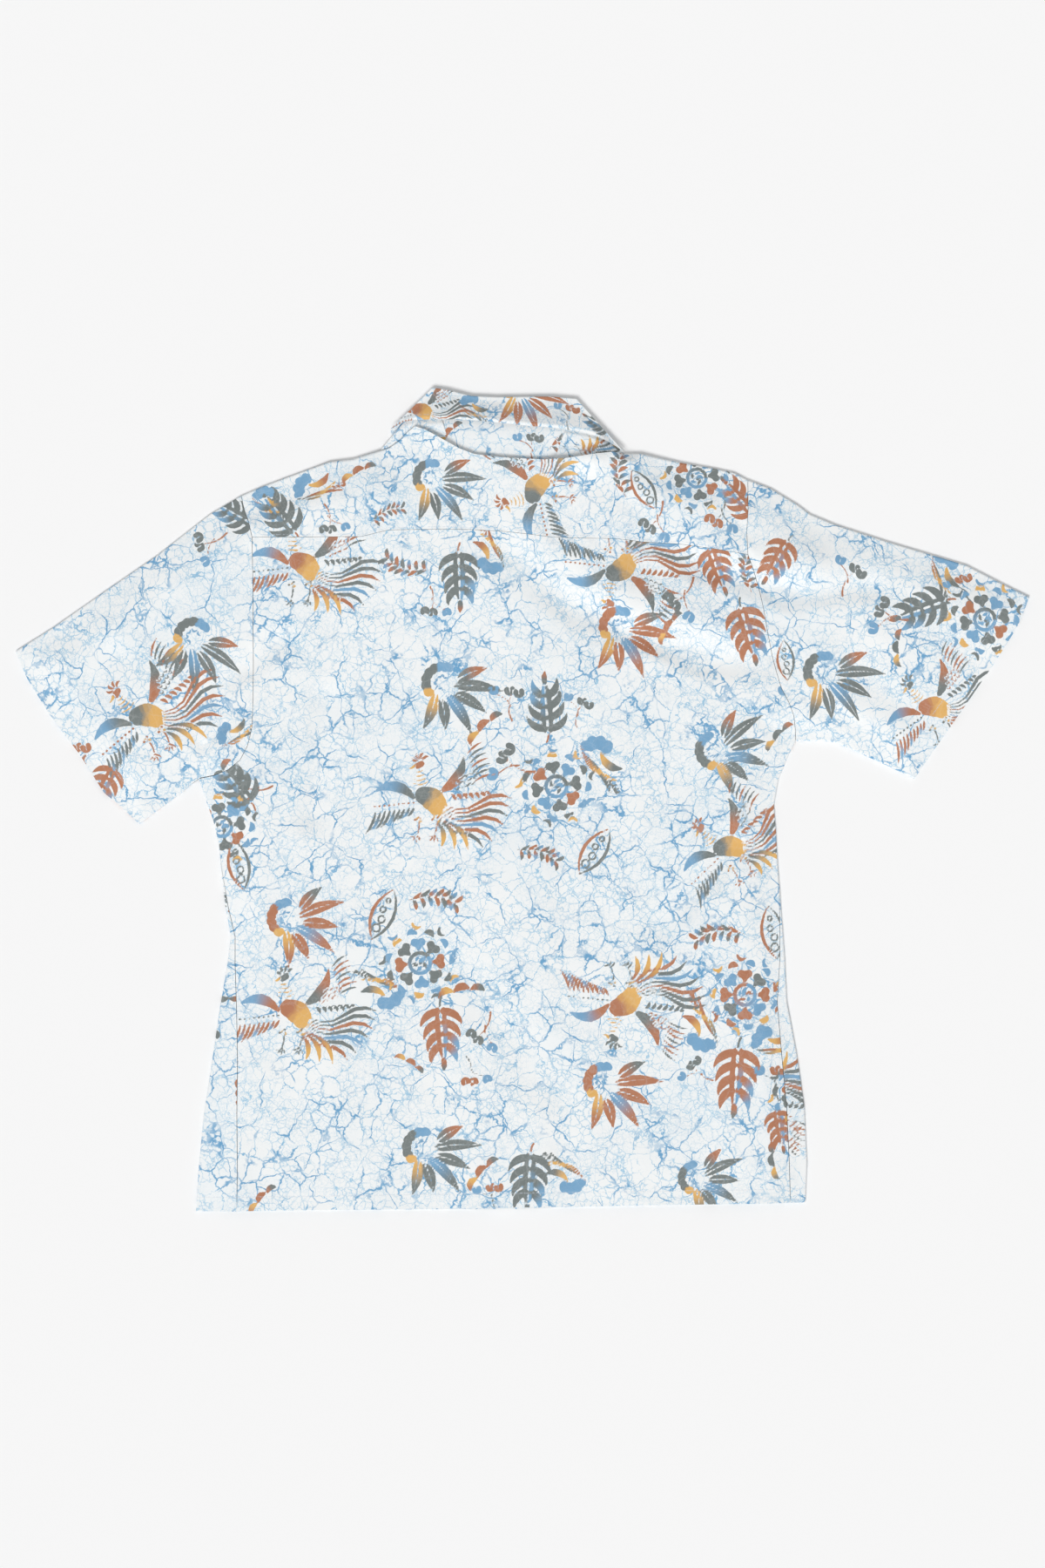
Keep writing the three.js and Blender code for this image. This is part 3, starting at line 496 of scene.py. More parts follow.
def fold_point(edge, inward, path, inner=False):
    """Wall points on a folded edge: a half circle between the plies and level beyond it. path runs
    from the fold's middle, upper layer above 0 and lower layer below."""
    edge, inward, path = np.broadcast_arrays(edge, inward, np.asarray(path, float)[..., None])
    path = path[..., 0]
    radius, quarter = fold_radius(edge), quarter_path(edge)
    over = np.maximum(0, np.abs(path) - quarter)
    turn = np.clip(path, -quarter, quarter) / radius
    middle = front_bottom(edge) + radius
    skins = []
    for number, r in enumerate((radius, radius - WALL)):
        spot = edge + inward * (radius - r * np.cos(turn) + over)[..., None]
        upper, lower = back_point(spot)[number][..., 2], front_point(spot, inner)[number][..., 2]
        level = np.where(path > 0, upper, lower)
        skins.append(upright(spot, np.where(over > 0, level, middle + r * np.sin(turn))))
    return np.stack(skins)


def path_reach(edge, path):
    """Plan distance from a folded edge to a place along the path over it."""
    return fold_radius(edge) + np.maximum(0, path - quarter_path(edge))


def armhole(side, offset):
    """Armhole points moved off the seam, from the underarm to the shoulder."""
    under, at, sign = (0, 0, -1) if side == "left" else (3, 2, 1)
    seam = np.vstack([SIDES[-1, under : under + 2], ARMHOLES[:, at : at + 2]])
    ahead, behind = np.vstack([seam[1:], seam[-1:]]), np.vstack([seam[:1], seam[:-1]])
    way = unit(behind, ahead)
    return seam + sign * offset * np.stack([way[:, 1], -way[:, 0]], axis=-1)


# ---------------------------------------------------------------- panels as grids of wall points
# A grid is an array [skin, row, column, xyz] in mm: skin 0 is the outside, skin 1 the inside.

YOKE_SHARES = (YOKE_TOP[:, 0] - YOKE_TOP[0, 0]) / np.ptp(YOKE_TOP[:, 0])
SEAM_X = mix(YOKE_SEAM[0, 0], YOKE_SEAM[-1, 0], YOKE_SHARES)
BEND = np.linspace(0, 1, 7)


def back_grid():
    """Back panel: rows from the hem to the yoke seam, each from the left seam round the folded
    edge, level across and round the right edge to its seam; rows near the top follow the yoke seam."""
    ends = [armhole("left", -SEAM_HALF), armhole("right", -SEAM_HALF)]
    count = len(SIDES) + YOKE_ROW + 1
    edges = [np.vstack([SIDES[:, 3 * n : 3 * n + 2], ends[n][1 : YOKE_ROW + 2]]) for n in (0, 1)]
    wraps = [np.append(SIDES[:, 3 * n + 2], np.zeros(YOKE_ROW + 1)) for n in (0, 1)]
    folded = np.arange(count) < len(SIDES)
    pull = smooth((edges[0][:, 1] - PULL_Y) / (YOKE_SEAM[0, 1] - PULL_Y))

    def seat(p, weight):
        chord = np.interp(p[..., 0], YOKE_SEAM[[0, -1], 0], YOKE_SEAM[[0, -1], 1])
        real = np.interp(p[..., 0], YOKE_SEAM[:, 0], YOKE_SEAM[:, 1])
        return np.stack([p[..., 0], p[..., 1] + (real - chord - SEAM_HALF) * weight], axis=-1)

    bends, starts = [], []
    for n in (0, 1):
        way = unit(edges[n], edges[1 - n])
        first = wraps[n] + FOLD_HALF
        start = np.where(
            folded, np.maximum(first + BEND_LEAD, quarter_path(edges[n]) + BEND_LEAD), 3 * BEND_LEAD
        )
        steps = BEND[:-1]
        path = mix(first[:, None], start[:, None], steps)
        round_points = fold_point(edges[n][:, None], way[:, None], path)
        spots = edges[n][:, None] + way[:, None] * (start[:, None] * steps)[..., None]
        flat_points = back_point(seat(spots, pull[:, None]))
        bends.append(np.where(folded[:, None, None], round_points, flat_points))
        reach = np.where(folded, path_reach(edges[n], start), start)
        starts.append(edges[n] + way * reach[:, None])
    across = mix(starts[0][:, None], starts[1][:, None], YOKE_SHARES[None, :, None])
    across[:, 1:-1, 0] = mix(across[:, 1:-1, 0], SEAM_X[1:-1], pull[:, None])
    level = back_point(seat(across, pull[:, None]))
    return np.concatenate([bends[0], level, bends[1][:, :, ::-1]], axis=2)


def yoke_grid():
    """Yoke: columns from the yoke seam up to the shoulder fold or the neck edge."""
    sides = [armhole(side, -SEAM_HALF)[YOKE_ROW + 1 :] for side in ("left", "right")]
    low = np.stack([SEAM_X, np.interp(SEAM_X, YOKE_SEAM[:, 0], YOKE_SEAM[:, 1]) + SEAM_HALF], axis=-1)
    high = YOKE_TOP.astype(float)
    low[0, 0], low[-1, 0] = sides[0][0, 0], sides[1][0, 0]
    high[0], high[-1] = sides[0][-1], sides[1][-1]
    number = np.arange(len(high))
    folded = (number <= NECK_LEFT) | (number >= NECK_RIGHT)
    way = unit(high, low)
    quarter = quarter_path(high)
    start = np.where(folded, path_reach(high, quarter + BEND_LEAD), 3 * BEND_LEAD)
    rise = np.linspace(0, 1, 9)
    points = mix(low[:, None], (high + way * start[:, None])[:, None], rise[None, :, None])
    for seam, away in zip(sides, (YOKE_SHARES, 1 - YOKE_SHARES)):
        place = rise * (len(seam) - 1)
        real = np.stack([np.interp(place, np.arange(len(seam)), seam[:, k]) for k in (0, 1)], axis=-1)
        chord = mix(seam[0], seam[-1], rise[:, None])
        weight = np.clip(1 - away / END_SPREAD, 0, 1)[:, None] * (rise < 1)
        points = points + (real - chord)[None] * weight[..., None]
    back = BEND[-2::-1]
    path = mix(FOLD_HALF, (quarter + BEND_LEAD)[:, None], back)
    round_points = fold_point(high[:, None], way[:, None], path)
    edge_points = back_point(high[:, None] + way[:, None] * (start[:, None] * back)[..., None])
    rim = np.where(folded[:, None, None], round_points, edge_points)
    grid = np.concatenate([back_point(points), rim], axis=2)
    return grid.transpose(0, 2, 1, 3)


def front_grid(side, inner):
    """A front half: rows from the hem to the shoulder, from the buttoned edge to the side seam."""
    at, seam_at = (0, 0) if side == "left" else (3, 2)
    centre_x = CENTRE_X + (-LAP if inner else LAP)
    body = armhole(side, -SEAM_HALF)
    shares = FRONT_TOP[:, 4]
    edge = SIDES[:, at : at + 2]
    centre = np.stack([np.full(len(SIDES), centre_x), SIDES[:, 6]], axis=-1)
    way = unit(edge, centre)
    quarter = quarter_path(edge)
    end = SIDES[:, at + 2] - FOLD_HALF
    bent = np.minimum(quarter, end - 1)
    first = edge + way * (fold_radius(edge) + BEND_LEAD)[:, None]
    floor = front_point(mix(centre[:, None], first[:, None], shares[None, :, None]), inner)
    around = mix((-quarter - BEND_LEAD)[:, None], bent[:, None], np.arange(1, 9) / 8)
    path = np.concatenate([around, mix(bent[:, None], end[:, None], np.arange(1, 6) / 5)], axis=1)
    lower = np.concatenate([floor, fold_point(edge[:, None], way[:, None], path, inner)], axis=2)
    side_steps = path.shape[1]
    lead = 6 * BEND_LEAD
    shoulder = body[-1]
    top = FRONT_TOP[:, seam_at : seam_at + 2].copy()
    top_way = unit(shoulder, top[-2])
    top[-1] = shoulder + top_way * lead
    out = 1 - np.arange(1, side_steps + 1) / side_steps
    hole = body[1:-1]
    centre = np.stack([np.full(len(hole), centre_x), ARMHOLES[:-1, 4]], axis=-1)
    hole_way = unit(hole, centre)
    number = np.arange(len(hole))
    pull = np.maximum(0, (number - NECK_PULL_ROW) / (len(ARMHOLES) - 1 - NECK_PULL_ROW)) ** 2
    level = mix(centre[:, None], (hole + hole_way * lead)[:, None], shares[None, :, None])
    chord = mix(np.array([centre_x, ARMHOLES[-1, 4]]), top[-1], shares[:, None])
    level = level + (top - chord)[None] * pull[:, None, None]
    margin = hole[:, None] + hole_way[:, None] * (lead * out)[None, :, None]
    plan = np.concatenate([level, margin], axis=1)
    rim = np.vstack([top, shoulder + top_way * (lead * out)[:, None]])
    inward = unit(rim, plan[-1])
    quarter = quarter_path(rim)
    neck = (np.arange(len(rim)) < FRONT_NECK)[:, None]
    rows = []
    for share in BEND[::-1]:
        folded = fold_point(rim, inward, -mix(FOLD_HALF, quarter + BEND_LEAD, share), inner)
        rows.append(np.where(neck, front_point(rim + inward * (3 * BEND_LEAD * share), inner), folded))
    return np.concatenate([lower, front_point(plan, inner), np.stack(rows, axis=1)], axis=1)


def sleeve_grid(side):
    """A sleeve: rings between the armhole and the cuff, blended from its four edges, flattened
    into two layers that turn round the upper and lower folded edges. Columns close on themselves."""
    spec = SLEEVES[side]
    whole = armhole(side, FOLD_HALF)[::-1]
    closed = spec["closed"]
    seam = whole[: len(whole) - closed]
    top = np.vstack([seam[:1], spec["top"][1:]])
    low = np.vstack([whole[len(seam) - 1 :], spec["low"][1:]])
    if closed:
        low[closed] += 0.5 * np.array([-0.7, 0.7])
    cuff = np.array(spec["cuff"], float)
    shares = shares_of(seam)
    out = np.unique(np.round(np.concatenate([np.linspace(0, 1, 21), shares_of(top), shares_of(low)]), 4))
    edges = [along(top, out), along(low, out)]
    t, u = shares[None, :, None], out[:, None, None]
    across = mix(edges[0][:, None], edges[1][:, None], t)
    lengthways = mix(seam[None], along(cuff, shares)[None], u)
    corners = mix(mix(seam[0], cuff[0], u), mix(seam[-1], cuff[-1], u), t)
    spots = across + lengthways - corners
    inward = [unit(edges[0], spots[:, 1]), unit(edges[1], spots[:, -2])]
    spots[:, 0] = edges[0] + inward[0] * fold_radius(edges[0])[:, None]
    spots[:, -1] = edges[1] + inward[1] * fold_radius(edges[1])[:, None]

    def turn(n, steps):
        path = quarter_path(edges[n])[:, None] * np.asarray(steps)
        return fold_point(edges[n][:, None], inward[n][:, None], path)

    down = np.linspace(0.75, -0.75, 7)
    return np.concatenate(
        [back_point(spots), turn(1, down), front_point(spots[:, ::-1]), turn(0, down[::-1])], axis=2
    )


def collar_grid(foot_line, roll_line, free_line, foot, free, shares):
    """A rolled strip: from its foot up to the roll line, round a half circle and back to the free
    edge. foot and free give the outer and inner heights of the two legs."""
    feet, rolls, frees = foot_line(shares), along(roll_line, shares), along(free_line, shares)
    way = unit(feet, rolls)
    foot_end, free_end = foot(rolls), free(rolls, 0)
    radius = np.abs(free_end[0] - foot_end[0]) / 2
    sign = np.sign(free_end[0] - foot_end[0])
    crest = rolls - way * radius[:, None]
    steps = np.linspace(0, 1, 9)
    rising = mix(feet[:, None], crest[:, None], steps[None, :, None])
    falling = mix(crest[:, None], frees[:, None], steps[None, :, None])
    up, down = foot(rising), free(falling, steps)
    for skin in (0, 1):
        up[skin][:, -1], down[skin][:, 0] = foot_end[skin], free_end[skin]
    turn = np.linspace(-0.5, 0.5, 9)[1:-1] * np.pi
    middle = (foot_end[0] + free_end[0]) / 2
    skins = []
    for skin, r in enumerate((radius, radius - WALL)):
        spot = crest[:, None] + way[:, None] * (r[:, None] * np.cos(turn))[..., None]
        bend = upright(spot, middle[:, None] + (sign * r)[:, None] * np.sin(turn))
        skins.append(np.concatenate([upright(rising, up[skin]), bend, upright(falling, down[skin])], axis=1))
    return np.stack(skins)


def back_collar_grid():
    """The back of the collar: its foot tucks under the yoke, its fall lies back over the stand."""
    neck = YOKE_TOP[NECK_LEFT : NECK_RIGHT + 1].astype(float)

    def foot_line(share):
        edge = along(neck, share)
        inside = smooth((np.minimum(share, 1 - share) - TUCK_START) / TUCK_WAY)
        return edge + unit(along(COLLAR_ROLL, share), edge) * mix(TUCK_END, COLLAR_TUCK, inside)[:, None]

    def foot(p):
        low = back_bottom(p) - PLY_GAP - WALL
        return [low, low + WALL]

    def free(p, share):
        low = foot(p)[1] + PLY_GAP + LEAF_CURL * np.square(share)
        return [low + WALL, low]

    shares = np.unique(np.concatenate([shares_of(neck), shares_of(COLLAR_ROLL), shares_of(COLLAR_FREE)]))
    return collar_grid(foot_line, COLLAR_ROLL, COLLAR_FREE, foot, free, shares)


def front_collar_grid(side):
    """A front half of the collar: its leaf lies on the floor, its stand above the leaf."""
    at = 0 if side == "left" else 2
    neckline = FRONT_TOP[FRONT_NECK:0:-1, at : at + 2]
    spec = FRONT_COLLARS[side]

    def foot_line(share):
        edge = along_rows(neckline, share)
        return edge + unit(edge, along(spec["roll"], share)) * COLLAR_CLEAR

    def along_rows(line, share):
        place = share * (len(line) - 1)
        return np.stack([np.interp(place, np.arange(len(line)), line[:, k]) for k in (0, 1)], axis=-1)

    def foot(p):
        level = np.zeros(p.shape[:-1])
        return [level + LEAF_LIFT + WALL, level + LEAF_LIFT]

    def free(p, share):
        level = np.zeros(p.shape[:-1])
        return [level, level + WALL]

    shares = np.linspace(0, 1, 2 * (len(neckline) - 1) + 1)
    return collar_grid(foot_line, spec["roll"], spec["free"], foot, free, shares)


# ---------------------------------------------------------------- fine meshes

INK_FAR = 3.0  # the print's distance is held to this, in mm
INK_NEAR = 1.3  # cells with printed shapes nearer than this are meshed finely
MOTIF_ROOM = 6  # how far past its outermost stroke point a motif is looked for
STROKE_ROOM = 3  # and past the brush of one stroke
DYE_START, DYE_RUN = 0.15, 0.6  # where along a stroke its first dye gives way, and over what share


def refine(grid, base, cells, ring=False):
    """The grid with more rows and columns: places and heights over the base surface are blended
    in straight lines, then the base is added again. base gets the plan and the share of the upper
    layer: 1 where the outer skin is a wall above the inner one, 0 where it is a wall below it.
    cells are the fine, the plain and the inner cell in mm. Also which rows and columns the plain
    mesh and the inner side keep."""
    if ring:
        grid = np.concatenate([grid, grid[:, :, :1]], axis=2)
    layer = np.clip(((grid[0, ..., 2] - grid[1, ..., 2]) / WALL + 1) / 2, 0, 1)
    loose = np.concatenate([grid, np.stack([layer, layer])[..., None]], axis=-1)
    loose[..., 2] -= base(loose[..., :2], loose[..., 3])
    plain_lines, inner_lines = [], []
    for axis in (1, 2):
        gaps = np.linalg.norm(np.diff(grid[0], axis=axis - 1), axis=-1).mean(axis=2 - axis)
        inner = np.maximum(1, np.ceil(gaps / cells[2])).astype(int)
        plain_steps = np.maximum(1, np.round(gaps / inner / cells[1])).astype(int)
        fine = np.maximum(1, np.round(gaps / inner / plain_steps / cells[0])).astype(int)
        count = inner * plain_steps * fine
        starts = np.concatenate([[0], np.cumsum(count)])
        for lines, each in ((plain_lines, fine), (inner_lines, plain_steps * fine)):
            steps = [start + np.arange(0, n, e) for start, n, e in zip(starts, count, each)]
            lines.append(np.concatenate([*steps, starts[-1:]]))
        place = np.concatenate([k + np.arange(n) / n for k, n in enumerate(count)] + [[len(count)]])
        low = np.minimum(place.astype(int), len(count) - 1)
        share = (place - low).reshape((-1, 1, 1) if axis == 1 else (-1, 1))
        loose = mix(np.take(loose, low, axis=axis), np.take(loose, low + 1, axis=axis), share)
    loose[..., 2] += base(loose[..., :2], loose[..., 3])
    loose = loose[..., :3]
    return loose[:, :, :-1] if ring else loose, plain_lines, inner_lines


def unevenness(p):
    """Gentle unevenness of lying cloth: six seeded waves of 35 to 120 mm added up, about +-1."""
    rng = np.random.default_rng(11)
    total = np.zeros(p.shape[:-1])
    for wave in (120, 95, 74, 58, 45, 35):
        angle, phase = rng.uniform(0, np.pi), rng.uniform(0, 2 * np.pi)
        turn = p[..., 0] * np.cos(angle) + p[..., 1] * np.sin(angle)
        total += np.sin(2 * np.pi * turn / wave + phase + 0.7 * np.sin(p[..., 1] / 41 + phase)) / 3
    return total


def add_creases(points, sizes):
    """Adds the fine creases, the unevenness and the seam puckers to the upper layer, fading out at
    the folded edges, and to both skins alike."""
    upper = smooth((points[0, ..., 2] - points[1, ..., 2]) / WALL)
    p = points[0, ..., :2]
    fade = smooth(polyline_distance(p, OUTLINE) / CREASE_FADE) * upper
    depth = sizes.crease / MM
    rise = folds(p, CREASES) * depth / CREASE_UNIT + unevenness(p) * depth * UNEVEN_SHARE
    rise = rise + relief(p) * sizes.loft
    rise += folds(p, NECK_LIFTS)
    free = polyline_distance(p, COLLAR_FREE)
    curl = FALL_CURL * np.exp(-np.square(free / FALL_REACH))
    rise += curl * (1 - RIM_DIP * np.exp(-np.square(free / RIM_WIDTH)))
    for seam in (YOKE_SEAM, ARMHOLES[:, :2], ARMHOLES[:, 2:4]):
        near = np.exp(-np.square(polyline_distance(p, seam) / PUCKER_REACH))
        rise += near * np.sin((p[..., 0] + p[..., 1]) / PUCKER_WAVE) * sizes.seam_pucker / MM
    points[..., 2] += np.maximum(rise, DEEPEST) * fade
    return points


def quads_of(ids):
    """Corner ids of all cells of a grid of point ids."""
    return np.stack([ids[:-1, :-1], ids[:-1, 1:], ids[1:, 1:], ids[1:, :-1]], axis=-1).reshape(-1, 4)


def outer_faces(ids, lines, busy, ring):
    """Fine quads in busy cells of the plain mesh, one face in each other cell. A plain cell takes in
    the points on the sides that it shares with busy cells, so that the mesh stays closed."""
    rows, columns = lines
    row_cell = np.searchsorted(rows, np.arange(rows[-1]), side="right") - 1
    column_cell = np.searchsorted(columns, np.arange(columns[-1]), side="right") - 1
    fine = quads_of(ids)[busy[np.ix_(row_cell, column_cell)].ravel()]
    if ring:
        wide = np.hstack([busy[:, -1:], busy, busy[:, :1]])
    else:
        wide = np.pad(busy, ((0, 0), (1, 1)))
    tall = np.pad(busy, ((1, 1), (0, 0)))
    sides = np.stack([tall[:-2], wide[:, 2:], tall[2:], wide[:, :-2]])
    lone = ~busy & ~sides.any(axis=0)
    plain_quads = quads_of(ids[np.ix_(rows, columns)])[lone.ravel()]
    others = []
    for i, j in np.argwhere(~busy & ~lone):
        r, c = slice(rows[i], rows[i + 1] + 1), slice(columns[j], columns[j + 1] + 1)
        loop = [ids[rows[i], c], ids[r, columns[j + 1]], ids[rows[i + 1], c][::-1], ids[r, columns[j]][::-1]]
        kept = [side[:-1] if full else side[:1] for side, full in zip(loop, sides[:, i, j])]
        others.append(np.concatenate(kept))
    return [fine, plain_quads], others


def closed_faces(shape, plain_lines, inner_lines, busy, ring):
    """Faces of a closed wall: the outer faces, coarse quads inside, and along the rims one face for
    each coarse step. Busy is true in the cells of the plain mesh that carry printed edges."""
    outer = np.arange(shape[0] * shape[1]).reshape(shape)
    keep_rows, keep_columns = inner_lines
    inner_shape = (len(keep_rows), len(keep_columns) - (1 if ring else 0))
    inner = outer.size + np.arange(inner_shape[0] * inner_shape[1]).reshape(inner_shape)
    if ring:
        outer, inner = np.hstack([outer, outer[:, :1]]), np.hstack([inner, inner[:, :1]])
    quads, others = outer_faces(outer, plain_lines, busy, ring)

    def rim(fine, coarse, keep, forward):
        for k, (a, b) in enumerate(zip(keep[:-1], keep[1:])):
            face = np.array([*fine[a : b + 1], coarse[k + 1], coarse[k]])
            others.append(face if forward else face[::-1])

    rim(outer[0], inner[0], keep_columns, False)
    rim(outer[-1], inner[-1], keep_columns, True)
    if not ring:
        rim(outer[:, 0], inner[:, 0], keep_rows, True)
        rim(outer[:, -1], inner[:, -1], keep_rows, False)
    return [*quads, quads_of(inner)[:, ::-1]], others


def mesh_object(name, points, quads, others, materials):
    """A mesh object from points in mm, quads as arrays and other faces as corner lists."""
    corners = np.concatenate([*(q.ravel() for q in quads), *others])
    sizes = np.concatenate([np.full(sum(len(q) for q in quads), 4), [len(o) for o in others]]).astype(int)
    mesh = bpy.data.meshes.new(name)
    mesh.vertices.add(len(points))
    mesh.loops.add(len(corners))
    mesh.polygons.add(len(sizes))
    mesh.vertices.foreach_set("co", ((points - [0, MIDDLE_Y, 0]) * MM).ravel())
    mesh.loops.foreach_set("vertex_index", corners)
    mesh.polygons.foreach_set("loop_start", np.concatenate([[0], np.cumsum(sizes)[:-1]]))
    mesh.polygons.foreach_set("loop_total", sizes)
    mesh.update(calc_edges=True)
    mesh.polygons.foreach_set("use_smooth", np.ones(len(sizes), bool))
    mesh.set_sharp_from_angle(angle=np.radians(SHARP_ANGLE))
    for material in materials:
        mesh.materials.append(material)
    obj = bpy.data.objects.new(name, mesh)
    bpy.context.scene.collection.objects.link(obj)
    return obj


def add_attribute(obj, name, kind, values):
    """A value for each point of the mesh, which the material reads by name."""
    field = {"FLOAT": "value", "FLOAT_VECTOR": "vector", "FLOAT_COLOR": "color"}[kind]
    attribute = obj.data.attributes.new(name, kind, "POINT")
    attribute.data.foreach_set(field, np.asarray(values, np.float32).ravel())


def cloth_piece(name, grid, base, cell, inner_cell, prints, stitch, context, ring=False):
    """A cloth piece: its fine closed wall, with the printed shapes and the lines of stitches as
    attributes. prints are the motif places of the upper and the lower layer."""
    sizes, colours = context.scene.shirt_sizes, context.scene.shirt_colours
    cells = (cell / MM, max(cell, sizes.plain_cell) / MM, inner_cell / MM)
    fine, plain_lines, inner_lines = refine(grid, base, cells, ring)
    fine = add_creases(fine, sizes)
    over = fine[0, ..., 2] > fine[1, ..., 2]
    keep = np.ix_(inner_lines[0], inner_lines[1][:-1] if ring else inner_lines[1])
    points = np.concatenate([fine[0].reshape(-1, 3), fine[1][keep].reshape(-1, 3)])
    upper = np.concatenate([over.ravel(), over[keep].ravel()])
    ink, dye = np.full(len(points), INK_FAR), np.tile(np.array(colours.slate[:]), (len(points), 1))
    for part, places in zip((upper, ~upper), prints):
        if part.any():
            ink[part], dye[part] = printed(points[part, :2], places, sizes, colours)
    shape = over.shape
    near = ink[: over.size].reshape(shape) < INK_NEAR
    near = np.hstack([near, near[:, :1]]) if ring else near
    busy = np.add.reduceat(np.add.reduceat(near, plain_lines[0][:-1], 0), plain_lines[1][:-1], 1) > 0
    ahead = np.pad(busy, ((0, 1), (0, 1)))
    busy = busy | ahead[1:, :-1] | ahead[:-1, 1:] | ahead[1:, 1:]
    busy[[0, -1]] = True
    if not ring:
        busy[:, [0, -1]] = True
    quads, others = closed_faces(shape, plain_lines, inner_lines, busy, ring)
    i, j = shape[0] // 2, shape[1] // 3
    normal = np.cross(fine[0, i, j + 1] - fine[0, i, j], fine[0, i + 1, j] - fine[0, i, j])
    if normal @ (fine[0, i, j] - fine[1, i, j]) < 0:
        quads, others = [q[:, ::-1] for q in quads], [o[::-1] for o in others]
    used = np.unique(np.concatenate([*(q.ravel() for q in quads), *others]))
    new_id = np.zeros(len(points), int)
    new_id[used] = np.arange(len(used))
    quads, others = [new_id[q] for q in quads], [new_id[o] for o in others]
    points, upper, ink, dye = points[used], upper[used], ink[used], dye[used]
    obj = mesh_object(name, points, quads, others, [printed_cotton(context)])
    add_attribute(obj, "ink", "FLOAT", ink)
    add_attribute(obj, "dye", "FLOAT_COLOR", np.column_stack([dye, np.ones(len(dye))]))
    add_attribute(obj, "stitch", "FLOAT", stitch(points[:, :2], upper))
    flat = points * [1, 1, 0] + LOWER_CLOTH * ~upper[:, None]
    add_attribute(obj, "cloth", "FLOAT_VECTOR", flat * MM)
    return obj


# ---------------------------------------------------------------- printed motifs
# A motif is a list of strokes: points in mm, radii in mm, first and last dye, clear. A stroke is a
# round brush of changing radius. A clear one keeps a white line round itself where it crosses
# another, and one that isn't clear runs into the shapes before it.

SLATE, RUST, OCHRE, BLUE = "slate", "rust", "ochre", "blue"


def arc(a, b, bow, radii, first, last=None):
    """Stroke from a to b on a parabola, bow times its length to the left in the middle."""
    a, b = np.asarray(a, float), np.asarray(b, float)
    t = np.linspace(0, 1, 7)
    way = b - a
    side = np.array([-way[1], way[0]]) * bow
    points = a + way * t[:, None] + side * (4 * t * (1 - t))[:, None]
    return points, np.interp(t, np.linspace(0, 1, len(radii)), radii), first, last or first, True


def joined(strokes):
    """The strokes run into one shape, kept clear of what was drawn before by its first stroke."""
    return [stroke if n == 0 else (*stroke[:4], False) for n, stroke in enumerate(strokes)]


def wavy(a, b, wave, radii, first, last=None):
    """Stroke from a to b that swings to the left and then to the right by wave times its length."""
    points, radii, first, last, clear = arc(a, b, 0, radii, first, last)
    way = np.asarray(b, float) - np.asarray(a, float)
    t = np.linspace(0, 1, len(points))
    points = points + np.array([-way[1], way[0]]) * (wave * np.sin(2 * np.pi * t))[:, None]
    return points, radii, first, last, clear


def blob(x, y, r, dye):
    """A round spot, very slightly long."""
    return np.array([[x - r * 0.25, y], [x + r * 0.25, y]]), np.array([r, r * 0.85]), dye, dye, True


def polar(radius, degrees, centre=(0, 0)):
    """Point at a radius and angle from a centre."""
    turn = np.radians(degrees)
    return np.array([centre[0] + radius * np.cos(turn), centre[1] + radius * np.sin(turn)])


def blade(a, b, width, bow, first, last=None):
    """A pointed leaf: two half blades beside a white midrib."""
    out = []
    for side in (-1, 1):
        points = arc(a, b, bow, [1, 1], first)[0]
        t = np.linspace(0, 1, len(points))
        half = width / 4 * np.sin(np.pi * np.clip(t * 0.97 + 0.03, 0, 1) ** 0.8)
        way = unit(points[0], points[-1])
        points = points + side * np.array([-way[1], way[0]]) * (half + 0.9 * (1 - t))[:, None]
        out.append((points, np.maximum(half, 0.3), first, last or first, side < 0))
    return out


